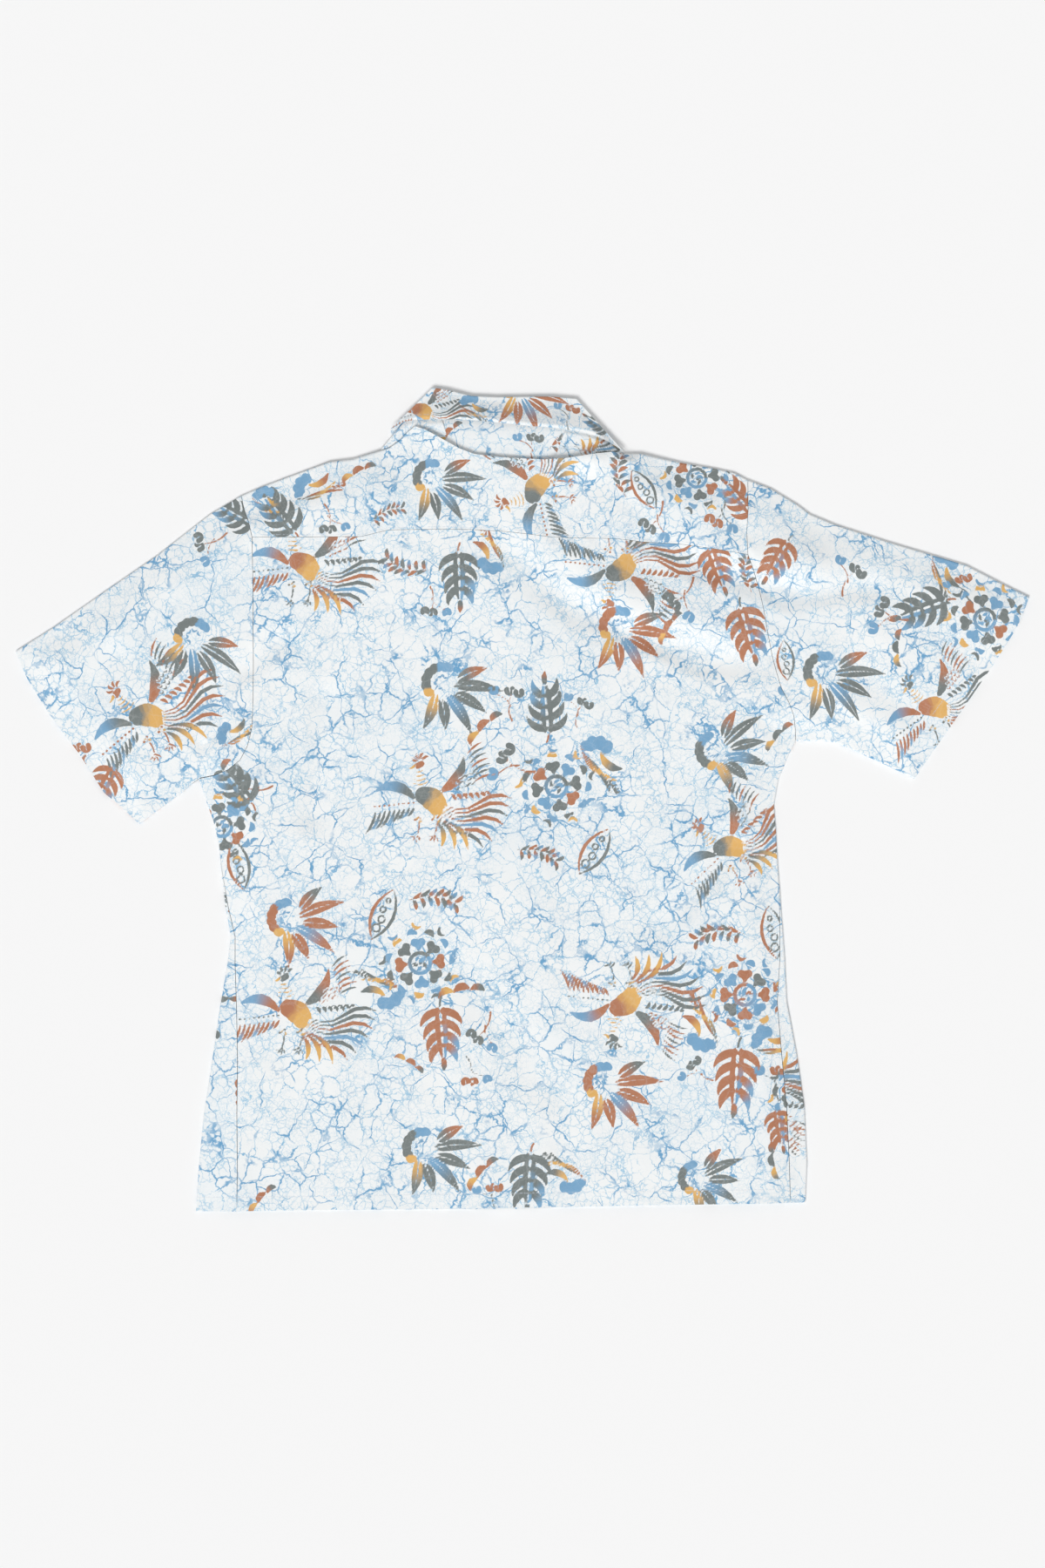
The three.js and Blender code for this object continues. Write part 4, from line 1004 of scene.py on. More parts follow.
def bird():
    """A bird with spread wings, a round body, long tail plumes and thin legs."""
    out = [
        arc((-7, 6), (7, -5), 0.12, [8.6, 11.2, 9.4], SLATE, OCHRE),
        (np.array([[-13, 35], [-9, 37]]), np.array([3.2, 2.8]), RUST, RUST, True),
        arc((-16, 35), (-22, 32), 0.1, [1.5, 0.4], OCHRE),
    ]
    for k in range(4):
        out.append(arc((-18 + k, 18 + 3.8 * k), (-2 - 2 * k, 20 + 3.6 * k), -0.14, [0.4, 0.8, 0.4], OCHRE))
        crest = polar(4, 150 - 34 * k, (-10, 38)), polar(10, 150 - 38 * k, (-10, 38))
        out.append(arc(*crest, 0.25, [0.8, 1.4, 0.4], RUST))
    out.append(arc((-17, 4), (-53, 11), -0.2, [1.8, 4.6, 5.4, 4.0, 1.0], SLATE, BLUE))
    for k in range(9):
        x = -17 - 4.7 * k
        out.append(blob(x, -1 - 0.5 * k, 1.15, RUST))
        reach = 8 + 2.2 * k
        out.append(arc((x + 0.5, -6 - 0.6 * k), (x - 5 - 0.5 * k, -6 - reach), 0.06, [0.8, 1.35, 1.3, 0.4],
                       SLATE, (SLATE, BLUE, SLATE)[k % 3]))
    out.append(arc((13, 12), (32, 44), -0.14, [2.8, 5.6, 5.4, 3.4, 0.7], RUST, SLATE))
    for k in range(12):
        centre = (25 + 5.0 * (k % 4) + 2 * (k // 4), 13 + 5.6 * (k // 4) + 2.0 * (k % 4))
        out.append(arc(polar(2, 200, centre), polar(2, 20, centre), -0.5, [0.5, 0.8, 0.5], SLATE))
    for k in range(7):
        start, dye = (43 - 1.2 * k, 20 + 4.4 * k), (RUST, SLATE, SLATE)[k % 3]
        out.append(arc(start, (62 - 2.0 * k, 27 + 5.2 * k), 0.08, [0.6, 1.2, 0.35], dye))
        down = (20 + 5.6 * k, 7 + 0.5 * k), (24 + 5.8 * k, 0.5 + 0.6 * k)
        out.append(arc(*down, 0.15, [0.6, 1.7, 1.4, 0.4], RUST))
    tail = [
        (80, 3, RUST), (79, -6, RUST), (77, -15, SLATE), (73, -24, RUST), (67, -32, BLUE),
        (60, -39, RUST), (51, -45, SLATE),
    ]
    for k, (x, y, dye) in enumerate(tail):
        last = RUST if k % 2 else dye
        radii = [0.5, 0.75, 1.1, 1.9, 2.0, 0.35]
        out.append(wavy((15 - k, -4 - 2.2 * k), (x, y), -0.08, radii, dye, last))
    for k in range(3):
        radii = [0.7, 1.4, 2.6, 2.2, 0.5]
        out.append(arc((12 - 3 * k, -18 - k), (36 - 13 * k, -48 + 2 * k), 0.18, radii, SLATE, OCHRE))
    for x in (-12, 5):
        out.append(arc((x, -17), (x - 2, -33), 0.1, [1.0, 0.8, 0.7], RUST))
        for k in range(4):
            out.append(arc((x - 2, -33), polar(7, 190 + 38 * k, (x - 2, -33)), 0.12, [0.75, 0.9, 0.35], RUST))
        for k in range(4):
            out.append(blob(x + 3.4 * np.cos(k * 1.7) + k - 2, -15 - 1.3 * k, 1.3, (RUST, OCHRE)[k % 2]))
    return out


def spray():
    """A bamboo-like spray: long split blades fanning out on one side of a scalloped cap."""
    out = []
    angles = [-118, -92, -66, -40, -14, 12]
    lengths = [48, 46, 58, 52, 60, 46]
    dyes = [(OCHRE, SLATE), (SLATE, SLATE), (BLUE, SLATE), (SLATE, SLATE), (SLATE, SLATE), (SLATE, RUST)]
    for k, (angle, reach, (first, last)) in enumerate(zip(angles, lengths, dyes)):
        out += blade(polar(12 + 4 * (k % 2), angle), polar(reach, angle + 6), 10.0, 0.05, first, last)
    cap = []
    for k in range(7):
        dye = (BLUE, BLUE, SLATE, SLATE, SLATE, SLATE, OCHRE)[k]
        cap.append(arc(polar(15.5, 60 + 24 * k), polar(13.5, 78 + 24 * k), -0.3, [3.4, 4.4, 3.0], dye))
    out += joined(cap)
    for k in range(5):
        out.append(arc(polar(7.5, 40 + 50 * k), polar(8, 76 + 50 * k), 0.4, [0.6, 1.1, 0.6], BLUE))
    return out


def rosette():
    """A flower with a swirling heart, a ring of two-lobed petals and loose outer petals."""
    ring = np.array([polar(9.5, a) for a in np.linspace(0, 360, 19)])
    out = [(ring, np.full(len(ring), 1.7), SLATE, BLUE, True)]
    for k in range(5):
        dye = (BLUE, SLATE)[k % 2]
        out.append(arc(polar(1.4, 72 * k), polar(6.4, 72 * k + 66), 0.4, [1.2, 2.0, 1.8, 0.7], dye))
    for k in range(8):
        turn, dye = 45 * k + 10, (SLATE, BLUE, SLATE, RUST)[k % 4]
        out += joined([
            arc(polar(13.4, turn), polar(19.5, turn + 9.5 * side), -0.2 * side, [1.9, 3.3, 3.7], dye)
            for side in (-1, 1)
        ])
    for k in range(11):
        turn, dye = 32.7 * k, (BLUE, SLATE, BLUE, OCHRE)[k % 4]
        out.append(arc(polar(27.5, turn - 8), polar(28, turn + 9), -0.3, [1.2, 2.9, 2.3, 0.6], dye))
    for k in range(9):
        turn, dye = 40 * k + 14, (SLATE, OCHRE, BLUE)[k % 3]
        out.append(arc(polar(34, turn - 6), polar(37, turn + 7), 0.35, [0.5, 1.8, 1.1], dye))
    return out


def oak_leaf():
    """A leaf with pointed lobes on both sides of a white midrib."""
    out = []
    for side, last in ((-1, BLUE), (1, SLATE)):
        radii = [1.0, 2.3, 2.2, 1.9, 0.8]
        half = [arc((side * 2.6, -22), (side * 1.4, 24), -0.03 * side, radii, SLATE, last)]
        for k in range(4):
            y = -16 + 10.5 * k
            tip = (side * (19.5 - 2.6 * k), y + 11 + 0.8 * k)
            end, radii = last if k > 1 else SLATE, [3.0, 3.7, 3.3, 2.1, 0.3]
            half.append(arc((side * 3.0, y - 3), tip, -0.16 * side, radii, SLATE, end))
        out += joined(half)
    out.append(arc((0, 26), (1, 36), 0.05, [2.4, 2.6, 0.4], SLATE, RUST))
    out.append(arc((0, -24), (-2, -32), 0.08, [1.0, 1.0], RUST))
    return out


def pinnate():
    """A curved stalk with pairs of small leaves."""
    out = [arc((-26, -8), (24, 4), 0.16, [0.6, 0.5, 0.4], SLATE)]
    for k in range(7):
        x = -22 + 7.2 * k
        y = 0.16 * 50 * 4 * ((x + 26) / 50) * (1 - (x + 26) / 50) - 8 + 12 * (x + 26) / 50
        for side in (-1, 1):
            first, last = (RUST, SLATE)[(k + (side > 0)) % 2], (SLATE, RUST, BLUE)[k % 3]
            ends = (x + 1.2, y + side * 1.4), (x + 7.5, y + side * 10.5)
            out.append(arc(*ends, -0.14 * side, [0.9, 2.3, 2.2, 0.5], first, last))
    return out


def outlined_leaf():
    """An open leaf drawn as a line, with loops inside."""
    out = []
    for side, dye in ((-1, RUST), (1, SLATE)):
        out.append(arc((0, -26), (4, 27), -0.2 * side, [0.6, 1.5, 1.7, 1.3, 0.5], dye))
    for k in range(4):
        centre = (2.0 * (k % 2) + 0.5, -14 + 9.5 * k)
        loop = np.array([polar(3.9 - 0.5 * k, a, centre) for a in np.linspace(0, 360, 11)])
        out.append((loop, np.full(len(loop), 0.9), SLATE, SLATE, True))
    return out


def hearts():
    """Two-lobed buds on thin stems."""
    out = [
        arc((0, -24), (2, 4), 0.12, [1.3, 0.8, 0.6], RUST),
        arc((1, -8), (-13, 8), -0.12, [0.8, 0.6], RUST),
    ]
    for x, y, dye in ((2, 10, SLATE), (-16, 13, BLUE), (12, 6, SLATE)):
        out += joined([
            arc((x, y - 4), (x + side * 3.4, y + 2.5), -0.2 * side, [1.2, 2.6, 3.0], dye)
            for side in (-1, 1)
        ])
    return out


def drops():
    """Three curved drops in a row."""
    return [
        arc((-18, -12), (-8, -2), 0.26, [0.5, 3.0, 3.4, 1.4], RUST, OCHRE),
        arc((-6, -2), (5, 6), 0.26, [0.5, 3.4, 3.6, 1.4], RUST),
        arc((7, 5), (19, 9), 0.26, [0.5, 3.0, 3.2, 1.0], RUST, SLATE),
    ]


def shell():
    """A bud seen from the side: a scalloped cap over two long curved sepals."""
    out = joined([
        arc(polar(14, 150 - 34 * k), polar(8, 140 - 34 * k), 0.2, [5.0, 4.8, 3.0], BLUE)
        for k in range(4)
    ])
    out.append(arc((-17, 6), (22, -22), -0.12, [0.5, 2.6, 3.4, 2.4, 0.8], RUST, OCHRE))
    out.append(arc((-15, 1), (18, -34), 0.06, [0.4, 1.4, 2.2, 1.8, 0.8], SLATE))
    out.append(arc((4, 2), (26, -10), -0.2, [1.2, 3.6, 4.0, 1.0], OCHRE, SLATE))
    for k in range(3):
        out.append(arc((16 + 3 * k, -22 - 4 * k), (23 + 2 * k, -26 - 3 * k), -0.4, [1.0, 1.8, 0.8], SLATE))
    return out


def motif(kind):
    """The strokes of a motif; "rust" before its name swaps its grey and its red-brown."""
    strokes = MOTIFS[kind.split()[-1]]()
    if not kind.startswith("rust"):
        return strokes
    swap = {SLATE: RUST, RUST: SLATE}
    return [(p, r, swap.get(a, a), swap.get(b, b), clear) for p, r, a, b, clear in strokes]


def placed(strokes, x, y, turn, size):
    """Strokes turned by degrees, scaled (mirrored where size is negative) and moved to x, y."""
    angle = np.radians(turn)
    rotate = np.array([[np.cos(angle), np.sin(angle)], [-np.sin(angle), np.cos(angle)]])
    scale = np.array([size, abs(size)])
    return [((s[0] * scale) @ rotate + [x, y], s[1] * abs(size), *s[2:]) for s in strokes]


MOTIFS = {
    "bird": bird, "spray": spray, "rosette": rosette, "oak": oak_leaf, "pinnate": pinnate,
    "outline": outlined_leaf, "hearts": hearts, "drops": drops, "shell": shell,
}
# Where each motif lies on each sheet of cloth: kind, x, y, turn in degrees, size.
BACK_PRINT = [
    ("rust bird", -200, 214, 0, 0.92), ("bird", 90, 214, 180, -0.92), ("bird", -84, -1, 0, 0.94),
    ("bird", 190, -44, 38, 0.86), ("rust bird", -208, -196, 0, 0.94), ("rust bird", 94, -184, 180, -0.94),
    ("spray", -74, 108, 0, 0.96), ("spray", 176, 46, 44, 0.92), ("rust spray", 88, 160, -4, 0.92),
    ("rust spray", -216, -108, 24, 0.94), ("rust spray", 74, -258, 8, 0.94), ("spray", -92, -318, 10, 0.94),
    ("spray", 158, -346, 30, 0.8), ("rosette", 31, 13, 0, 1.0), ("rosette", -94, -149, 40, 1.0),
    ("rust rosette", 204, -178, 80, 1.0), ("rosette", 258, -270, 10, 0.9), ("rosette", -276, -24, 0, 0.95),
    ("oak", 22, 84, 4, 0.96), ("rust oak", 206, 156, 196, 0.95), ("rust oak", -74, -212, 184, 1.0),
    ("rust oak", 196, -252, 176, 1.1), ("oak", -262, 14, 40, 0.9), ("outline", 64, -46, -30, 0.95),
    ("outline", -130, -104, -20, 0.95), ("outline", 228, -122, 14, 0.95),
    ("rust pinnate", -82, -92, -18, 0.85),
    ("rust pinnate", 180, -124, 22, -0.85), ("pinnate", 14, -50, -30, 0.75), ("hearts", -12, 92, 8, 0.8),
    ("hearts", 52, 84, -8, 0.7), ("hearts", 252, 90, 0, 0.8), ("hearts", -10, 34, 70, 0.95),
    ("shell", 68, 42, -8, 0.95), ("shell", -124, -176, 200, 0.85), ("rust shell", 166, -214, 160, 0.9),
    ("drops", -34, 66, 16, 0.95), ("rust drops", 236, 58, 20, 0.8), ("drops", -56, -176, -20, 1.0),
    ("oak", -58, 206, 182, 0.95), ("pinnate", -106, 216, 150, 0.8), ("hearts", -82, 180, 190, 0.7),
    ("rust shell", -28, 222, 160, 0.8), ("rust oak", 178, 214, 200, 0.8), ("hearts", 146, 186, 150, 0.9),
    ("rust pinnate", 208, 210, 80, 0.7), ("drops", 136, 158, 30, 0.8), ("oak", 6, -346, 176, 1.0),
    ("drops", -36, -342, 20, 0.9), ("shell", 44, -346, 190, 0.8), ("rust hearts", -28, -362, 20, 0.7),
    ("hearts", -36, -212, 160, 0.8), ("rust hearts", -46, -250, 200, 0.7), ("drops", -104, -242, -60, 0.7),
    ("rust shell", 224, -222, 40, 0.8), ("rust drops", 232, -330, 70, 0.8), ("hearts", 160, -248, 60, 0.7),
    ("drops", -238, -366, 20, 0.8), ("outline", -262, -60, 16, 0.9), ("rust oak", 236, -300, 190, 0.7),
    ("hearts", -248, 10, 100, 0.8), ("rust hearts", 232, -256, 10, 0.8),
]
YOKE_PRINT = [
    ("bird", 14, 286, 96, 0.86), ("spray", -84, 296, 6, 0.86), ("rust shell", -196, 286, 60, 0.8),
    ("oak", -222, 262, 40, 0.9), ("shell", -236, 276, 10, 0.7), ("rosette", 160, 296, 0, 0.9),
    ("rust oak", 200, 276, 40, 0.8), ("rust pinnate", 92, 300, 80, 0.8), ("outline", 110, 284, 36, 0.8),
    ("hearts", 122, 256, 160, 0.8), ("rust hearts", 182, 262, 170, 0.8), ("drops", -150, 300, 0, 0.8),
    ("hearts", -176, 256, 200, 0.7), ("pinnate", -124, 262, 10, 0.6),
]
LEFT_SLEEVE_PRINT = [
    ("bird", -344, 76, 34, 0.96), ("spray", -302, 150, -30, 0.92), ("rust rosette", -430, 24, 10, 0.9),
    ("rust oak", -384, 14, 150, 0.8), ("hearts", -288, 236, 120, 0.8), ("rust drops", -276, 20, 40, 0.9),
    ("shell", -268, 60, 70, 0.7), ("rust hearts", -408, 40, 20, 0.8), ("oak", -262, 262, 60, 0.8),
]
RIGHT_SLEEVE_PRINT = [
    ("spray", 276, 118, 6, 0.96), ("rust bird", 378, 84, 30, 0.84), ("rosette", 424, 166, 0, 1.0),
    ("oak", 368, 176, 110, 0.95), ("rust oak", 234, 222, 150, 0.8), ("hearts", 336, 170, 80, 0.9),
    ("rust drops", 346, 140, 60, 0.8), ("shell", 386, 214, -30, 0.8), ("hearts", 300, 206, -20, 0.8),
    ("outline", 240, 128, 10, 0.7), ("rust hearts", 404, 196, 30, 0.7),
]
FALL_PRINT = [
    ("rust bird", -92, 356, 10, 0.62), ("rust spray", -2, 378, -10, 0.78), ("shell", -48, 362, 10, 0.6),
    ("rust hearts", 42, 354, 0, 0.6), ("oak", 70, 346, 60, 0.5),
]
STAND_PRINT = [
    ("hearts", 8, 326, 10, 0.7), ("rust pinnate", 42, 330, 6, 0.7), ("shell", 74, 326, 20, 0.7),
    ("drops", -66, 336, 20, 0.7), ("hearts", -100, 344, 40, 0.7),
]


def turned_over(places, shift):
    """The same cloth further along: a layout turned half round about a shifted centre."""
    return [(kind, shift[0] - x, shift[1] - y, turn + 180, -size) for kind, x, y, turn, size in places]


def printed(p, places, sizes, colours):
    """Signed distance in mm from each point to the nearest printed shape, below 0 inside it, and
    the dye there. Each stroke is the least over its segments of distance minus radius; it first
    clears a resist line round itself, then joins the rest."""
    ink = np.full(len(p), INK_FAR)
    dye = np.tile(np.array(colours.slate[:]), (len(p), 1))
    gap = sizes.motif_gap / MM
    for kind, x, y, turn, size in places:
        strokes = placed(motif(kind), x, y, turn, size)
        reach = max(np.linalg.norm(s[0] - [x, y], axis=1).max() for s in strokes) + MOTIF_ROOM
        near = np.flatnonzero(np.hypot(p[:, 0] - x, p[:, 1] - y) < reach)
        if not len(near):
            continue
        own, own_dye = np.full(len(near), INK_FAR), dye[near].copy()
        for points, radii, first, last, clear in strokes:
            room = radii.max() + STROKE_ROOM
            low, high = points.min(axis=0) - room, points.max(axis=0) + room
            q = p[near]
            hit = np.flatnonzero(np.all((q > low) & (q < high), axis=1))
            if not len(hit):
                continue
            a, way = points[:-1], np.diff(points, axis=0)
            span = np.maximum(np.sum(way * way, axis=1), 1e-6)
            away = q[hit][:, None] - a
            share = np.clip(np.sum(away * way, axis=-1) / span, 0, 1)
            far = np.linalg.norm(away - share[..., None] * way, axis=-1) - mix(radii[:-1], radii[1:], share)
            best = far.argmin(axis=1)
            line = np.arange(len(hit))
            distance = far[line, best]
            place = (best + share[line, best]) / len(a)
            turn_over = smooth((place - DYE_START) / DYE_RUN)[:, None]
            dyes = [np.array(getattr(colours, name)[:]) for name in (first, last)]
            shade = mix(*dyes, turn_over)
            closer = distance < own[hit]
            own_dye[hit] = np.where(closer[:, None], shade, own_dye[hit])
            own[hit] = np.minimum(np.maximum(own[hit], gap - distance) if clear else own[hit], distance)
        better = own < ink[near]
        dye[near] = np.where(better[:, None], own_dye, dye[near])
        ink[near] = np.minimum(own, ink[near])
    return ink, dye


# ---------------------------------------------------------------- materials


def node(tree, kind, links=None, **settings):
    """Adds a shader node. settings name its properties or, failing that, its inputs (in_0 is input
    0); links map an input name or number to an output socket."""
    made = tree.nodes.new(kind)
    for key, value in settings.items():
        if key.startswith("in_"):
            name = key[3:]
            made.inputs[int(name) if name.isdigit() else name.replace("_", " ")].default_value = value
        else:
            setattr(made, key, value)
    for key, output in (links or {}).items():
        tree.links.new(output, made.inputs[key])
    return made


def maths(tree, operation, a, b=None, c=None):
    """A maths node's output; a, b and c are sockets or numbers."""
    made = tree.nodes.new("ShaderNodeMath")
    made.operation = operation
    for slot, value in enumerate((a, b, c)):
        if value is None:
            continue
        if isinstance(value, (int, float)):
            made.inputs[slot].default_value = value
        else:
            tree.links.new(value, made.inputs[slot])
    return made.outputs[0]


def ramp(tree, value, low, high):
    """Soft step of a value from low to high, as 0 to 1."""
    made = node(tree, "ShaderNodeMapRange", {0: value}, interpolation_type="SMOOTHSTEP")
    made.inputs[1].default_value, made.inputs[2].default_value = low, high
    return made.outputs[0]


def blend(tree, share, a, b):
    """Mix of two colours; each is a socket or a colour."""
    made = tree.nodes.new("ShaderNodeMix")
    made.data_type = "RGBA"
    tree.links.new(share, made.inputs[0])
    for slot, value in ((6, a), (7, b)):
        if hasattr(value, "is_output"):
            tree.links.new(value, made.inputs[slot])
        else:
            made.inputs[slot].default_value = (*value, 1)
    return made.outputs[2]


def product(tree, first, *others):
    """Product of values."""
    for value in others:
        first = maths(tree, "MULTIPLY", first, value)
    return first


def greatest(tree, first, *others):
    """Greatest of values."""
    for value in others:
        first = maths(tree, "MAXIMUM", first, value)
    return first


def noise(tree, vector, scale, detail=2.0, output="Fac"):
    """Smooth noise with a number of waves to the metre."""
    made = node(tree, "ShaderNodeTexNoise", {"Vector": vector}, in_Scale=scale, in_Detail=detail)
    return made.outputs[output]


def warped(tree, vector, scale, amount):
    """Places shifted by noise, by up to about half the amount in metres."""
    swirl = noise(tree, vector, scale, 3.0, "Color")
    kind = "ShaderNodeVectorMath"
    middle = node(tree, kind, {0: swirl}, operation="SUBTRACT", in_1=(0.5, 0.5, 0.5)).outputs[0]
    swing = node(tree, kind, {0: middle}, operation="SCALE", in_Scale=amount).outputs[0]
    return node(tree, kind, {0: vector, 1: swing}, operation="ADD").outputs[0]


def net(tree, vector, cell, width):
    """Thin lines along the borders of Voronoi cells, thicker where width is more."""
    edge = node(
        tree, "ShaderNodeTexVoronoi", {"Vector": vector}, feature="DISTANCE_TO_EDGE", in_Scale=1 / cell
    )
    return ramp(tree, maths(tree, "DIVIDE", edge.outputs["Distance"], width), 1.25, 0.2)


def crackle(tree, cloth, sizes):
    """Strengths of a pale tint in broad patches, of the veins and of their deep blue parts. Large,
    long, small and hair-thin nets come and go in patches, with dye pooled in spiky spots."""
    patch = noise(tree, cloth, 19.0)
    broad = noise(tree, warped(tree, cloth, 14.0, 0.03), 9.0, 1.0)
    fine_patch = ramp(tree, noise(tree, cloth, 30.0), 0.36, 0.56)
    twice = warped(tree, warped(tree, cloth, 60.0, 0.012), 330.0, 0.0045)
    large_width = maths(tree, "MULTIPLY_ADD", ramp(tree, patch, 0.44, 0.64), 0.03, 0.018)
    small_width = maths(tree, "MULTIPLY_ADD", fine_patch, 0.03, 0.02)
    faint = maths(tree, "MULTIPLY_ADD", ramp(tree, noise(tree, cloth, 70.0), 0.34, 0.58), 0.6, 0.4)
    large = product(tree, net(tree, twice, sizes.vein_cell, large_width), faint)
    bent = warped(tree, warped(tree, cloth, 26.0, 0.035), 300.0, 0.003)
    long = net(tree, bent, sizes.vein_cell * 2.2, 0.016)
    long = product(tree, long, ramp(tree, noise(tree, cloth, 40.0), 0.4, 0.6))
    small = net(tree, warped(tree, cloth, 300.0, 0.005), sizes.fine_vein_cell, small_width)
    small = product(tree, small, fine_patch, 0.75)
    hair = net(tree, warped(tree, cloth, 420.0, 0.005), sizes.fine_vein_cell * 0.55, 0.05)
    hair = product(tree, hair, ramp(tree, noise(tree, cloth, 22.0, 3.0), 0.4, 0.56), 0.38)
    spots = node(
        tree, "ShaderNodeTexVoronoi", {"Vector": twice}, feature="F1", in_Scale=0.6 / sizes.vein_cell
    )
    spikes = ramp(tree, noise(tree, cloth, 260.0, 4.0), 0.48, 0.6)
    junction = product(tree, ramp(tree, spots.outputs["Distance"], 0.3, 0.02), spikes)
    junction = product(tree, junction, ramp(tree, patch, 0.4, 0.54))
    halo = product(tree, ramp(tree, broad, 0.46, 0.72), 0.07)
    veins = greatest(tree, large, long, small, hair, product(tree, junction, 0.75))
    strong = greatest(tree, product(tree, large, ramp(tree, patch, 0.46, 0.62)), long)
    deep = greatest(tree, product(tree, strong, 0.75), product(tree, junction, 0.8))
    return halo, veins, deep


def printed_cotton(context):
    """Matt printed poplin: what the eye gets is a bleached ground crossed by blue crackle, flat
    fills of dye with white lines between them, a hint of the weave and a soft dent at stitches."""
    known = bpy.data.materials.get("printed_cotton_poplin")
    if known:
        return known
    sizes, colours = context.scene.shirt_sizes, context.scene.shirt_colours
    material = bpy.data.materials.new("printed_cotton_poplin")
    material.use_nodes = True
    tree = material.node_tree
    tree.nodes.clear()
    cloth, ink, dye, stitch = (
        node(tree, "ShaderNodeAttribute", attribute_name=name).outputs[output]
        for name, output in (("cloth", "Vector"), ("ink", "Fac"), ("dye", "Color"), ("stitch", "Fac"))
    )
    halo, veins, deep = crackle(tree, cloth, sizes)
    ground = blend(tree, halo, colours.ground[:], colours.vein[:])
    ground = blend(tree, veins, ground, colours.vein[:])
    ground = blend(tree, deep, ground, colours.deep_vein[:])
    wobble = maths(tree, "MULTIPLY_ADD", noise(tree, cloth, 420.0), 0.9, -0.45)
    inside = ramp(tree, maths(tree, "ADD", ink, wobble), 0.32, -0.32)
    depth_of_dye = maths(tree, "MULTIPLY_ADD", noise(tree, cloth, 90.0, 3.0), 0.24, 0.88)
    mottle = node(tree, "ShaderNodeHueSaturation", {"Color": dye, "Value": depth_of_dye})
    fill = blend(tree, product(tree, veins, 0.10), mottle.outputs[0], colours.ground[:])
    shade = blend(tree, inside, ground, fill)
    sewn = ramp(tree, maths(tree, "ABSOLUTE", stitch), sizes.stitch_width / MM * 0.75, 0.0)
    beat = ramp(tree, noise(tree, cloth, 700.0, 1.0), 0.4, 0.6)
    shade = blend(tree, product(tree, sewn, beat, 0.55), shade, colours.thread[:])

    turned = node(tree, "ShaderNodeSeparateXYZ", {0: cloth})
    threads = [
        maths(tree, "SINE", product(tree, turned.outputs[axis], 2 * np.pi / sizes.weave)) for axis in (0, 1)
    ]
    slub = maths(tree, "MULTIPLY_ADD", noise(tree, cloth, 260.0, 3.0), 1.6, product(tree, *threads))
    height = maths(tree, "MULTIPLY_ADD", sewn, -4.0, slub)
    bump = node(tree, "ShaderNodeBump", {"Height": height}, in_Strength=0.22, in_Distance=0.0001)
    skin = node(tree, "ShaderNodeBsdfPrincipled", {"Base Color": shade, "Normal": bump.outputs[0]},
                in_Roughness=0.9, in_Specular_IOR_Level=0.18, in_Sheen_Weight=0.12, in_Sheen_Roughness=0.5)
    node(tree, "ShaderNodeOutputMaterial", {"Surface": skin.outputs[0]})
    return material


def plain(name, code, roughness, specular):
    """A material of one colour."""
    material = bpy.data.materials.new(name)
    material.use_nodes = True
    skin = material.node_tree.nodes["Principled BSDF"]
    skin.inputs["Base Color"].default_value = (*code, 1)
    skin.inputs["Roughness"].default_value = roughness
    skin.inputs["Specular IOR Level"].default_value = specular
    return material


# ---------------------------------------------------------------- operators

FLOOR_SIDE = 18.0
FLOOR_DROP = 0.0002
WORLD_STRENGTH = 0.42
# Suns: name, direction that the light comes from, softness in degrees, strength.
LIGHTS = (("Key", (-0.42, -0.95, 1.3), 24, 2.02), ("Top", (0.3, 0.2, 1.0), 60, 0.28))
CAMERA_PLACE = (0, 0.0142, 3.403)
LENS, SENSOR = 85, 36
NEAR_CLIP, FAR_CLIP = 0.1, 20


def hem_line(plan, sizes):
    """Signed distance in mm from the line of stitches above the hem."""
    hem = np.interp(plan[:, 0], [SIDES[0, 0], SIDES[0, 3]], [SIDES[0, 1], SIDES[0, 4]])
    return plan[:, 1] - hem - sizes.hem / MM


def finish_cloth(obj, node_name):
    """Binds a finished cloth piece to its body and hides the solid of its node."""
    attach(obj, "root")
    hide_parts(node_name)


class SHIRT_OT_back(bpy.types.Operator):
    """Build the back panel and the yoke"""

    bl_idname = "shirt.back"
    bl_label = "Back and yoke"

    def execute(self, context):
        sizes = context.scene.shirt_sizes
        stitch = lambda plan, upper: hem_line(plan, sizes)
        back = cloth_piece("back_panel", back_grid(), lying, sizes.cell * BACK_CELL, sizes.inner_cell,
                           (BACK_PRINT, BACK_PRINT), stitch, context)
        finish_cloth(back, "back")
        seam = lambda plan, upper: polyline_distance(plan, YOKE_SEAM) - YOKE_STITCH
        yoke = cloth_piece("yoke_panel", yoke_grid(), lying, sizes.cell * YOKE_CELL, sizes.inner_cell,
                           (YOKE_PRINT, YOKE_PRINT), seam, context)
        finish_cloth(yoke, "yoke")
        return {"FINISHED"}


class SHIRT_OT_fronts(bpy.types.Operator):
    """Build the two fronts that lie underneath"""

    bl_idname = "shirt.fronts"
    bl_label = "Fronts"

    def execute(self, context):
        sizes = context.scene.shirt_sizes
        stitch = lambda plan, upper: hem_line(plan, sizes)
        for side, inner, shift in (("left", False, (-40, -120)), ("right", True, (10, -60))):
            base = lambda p, layer, inner=inner: lying(p, layer, inner)
            places = turned_over(BACK_PRINT, shift)
            front = cloth_piece("front_panel_" + side, front_grid(side, inner), base, sizes.hidden_cell,
                                sizes.inner_cell, (places, places), stitch, context)
            finish_cloth(front, "front_" + side)
        return {"FINISHED"}


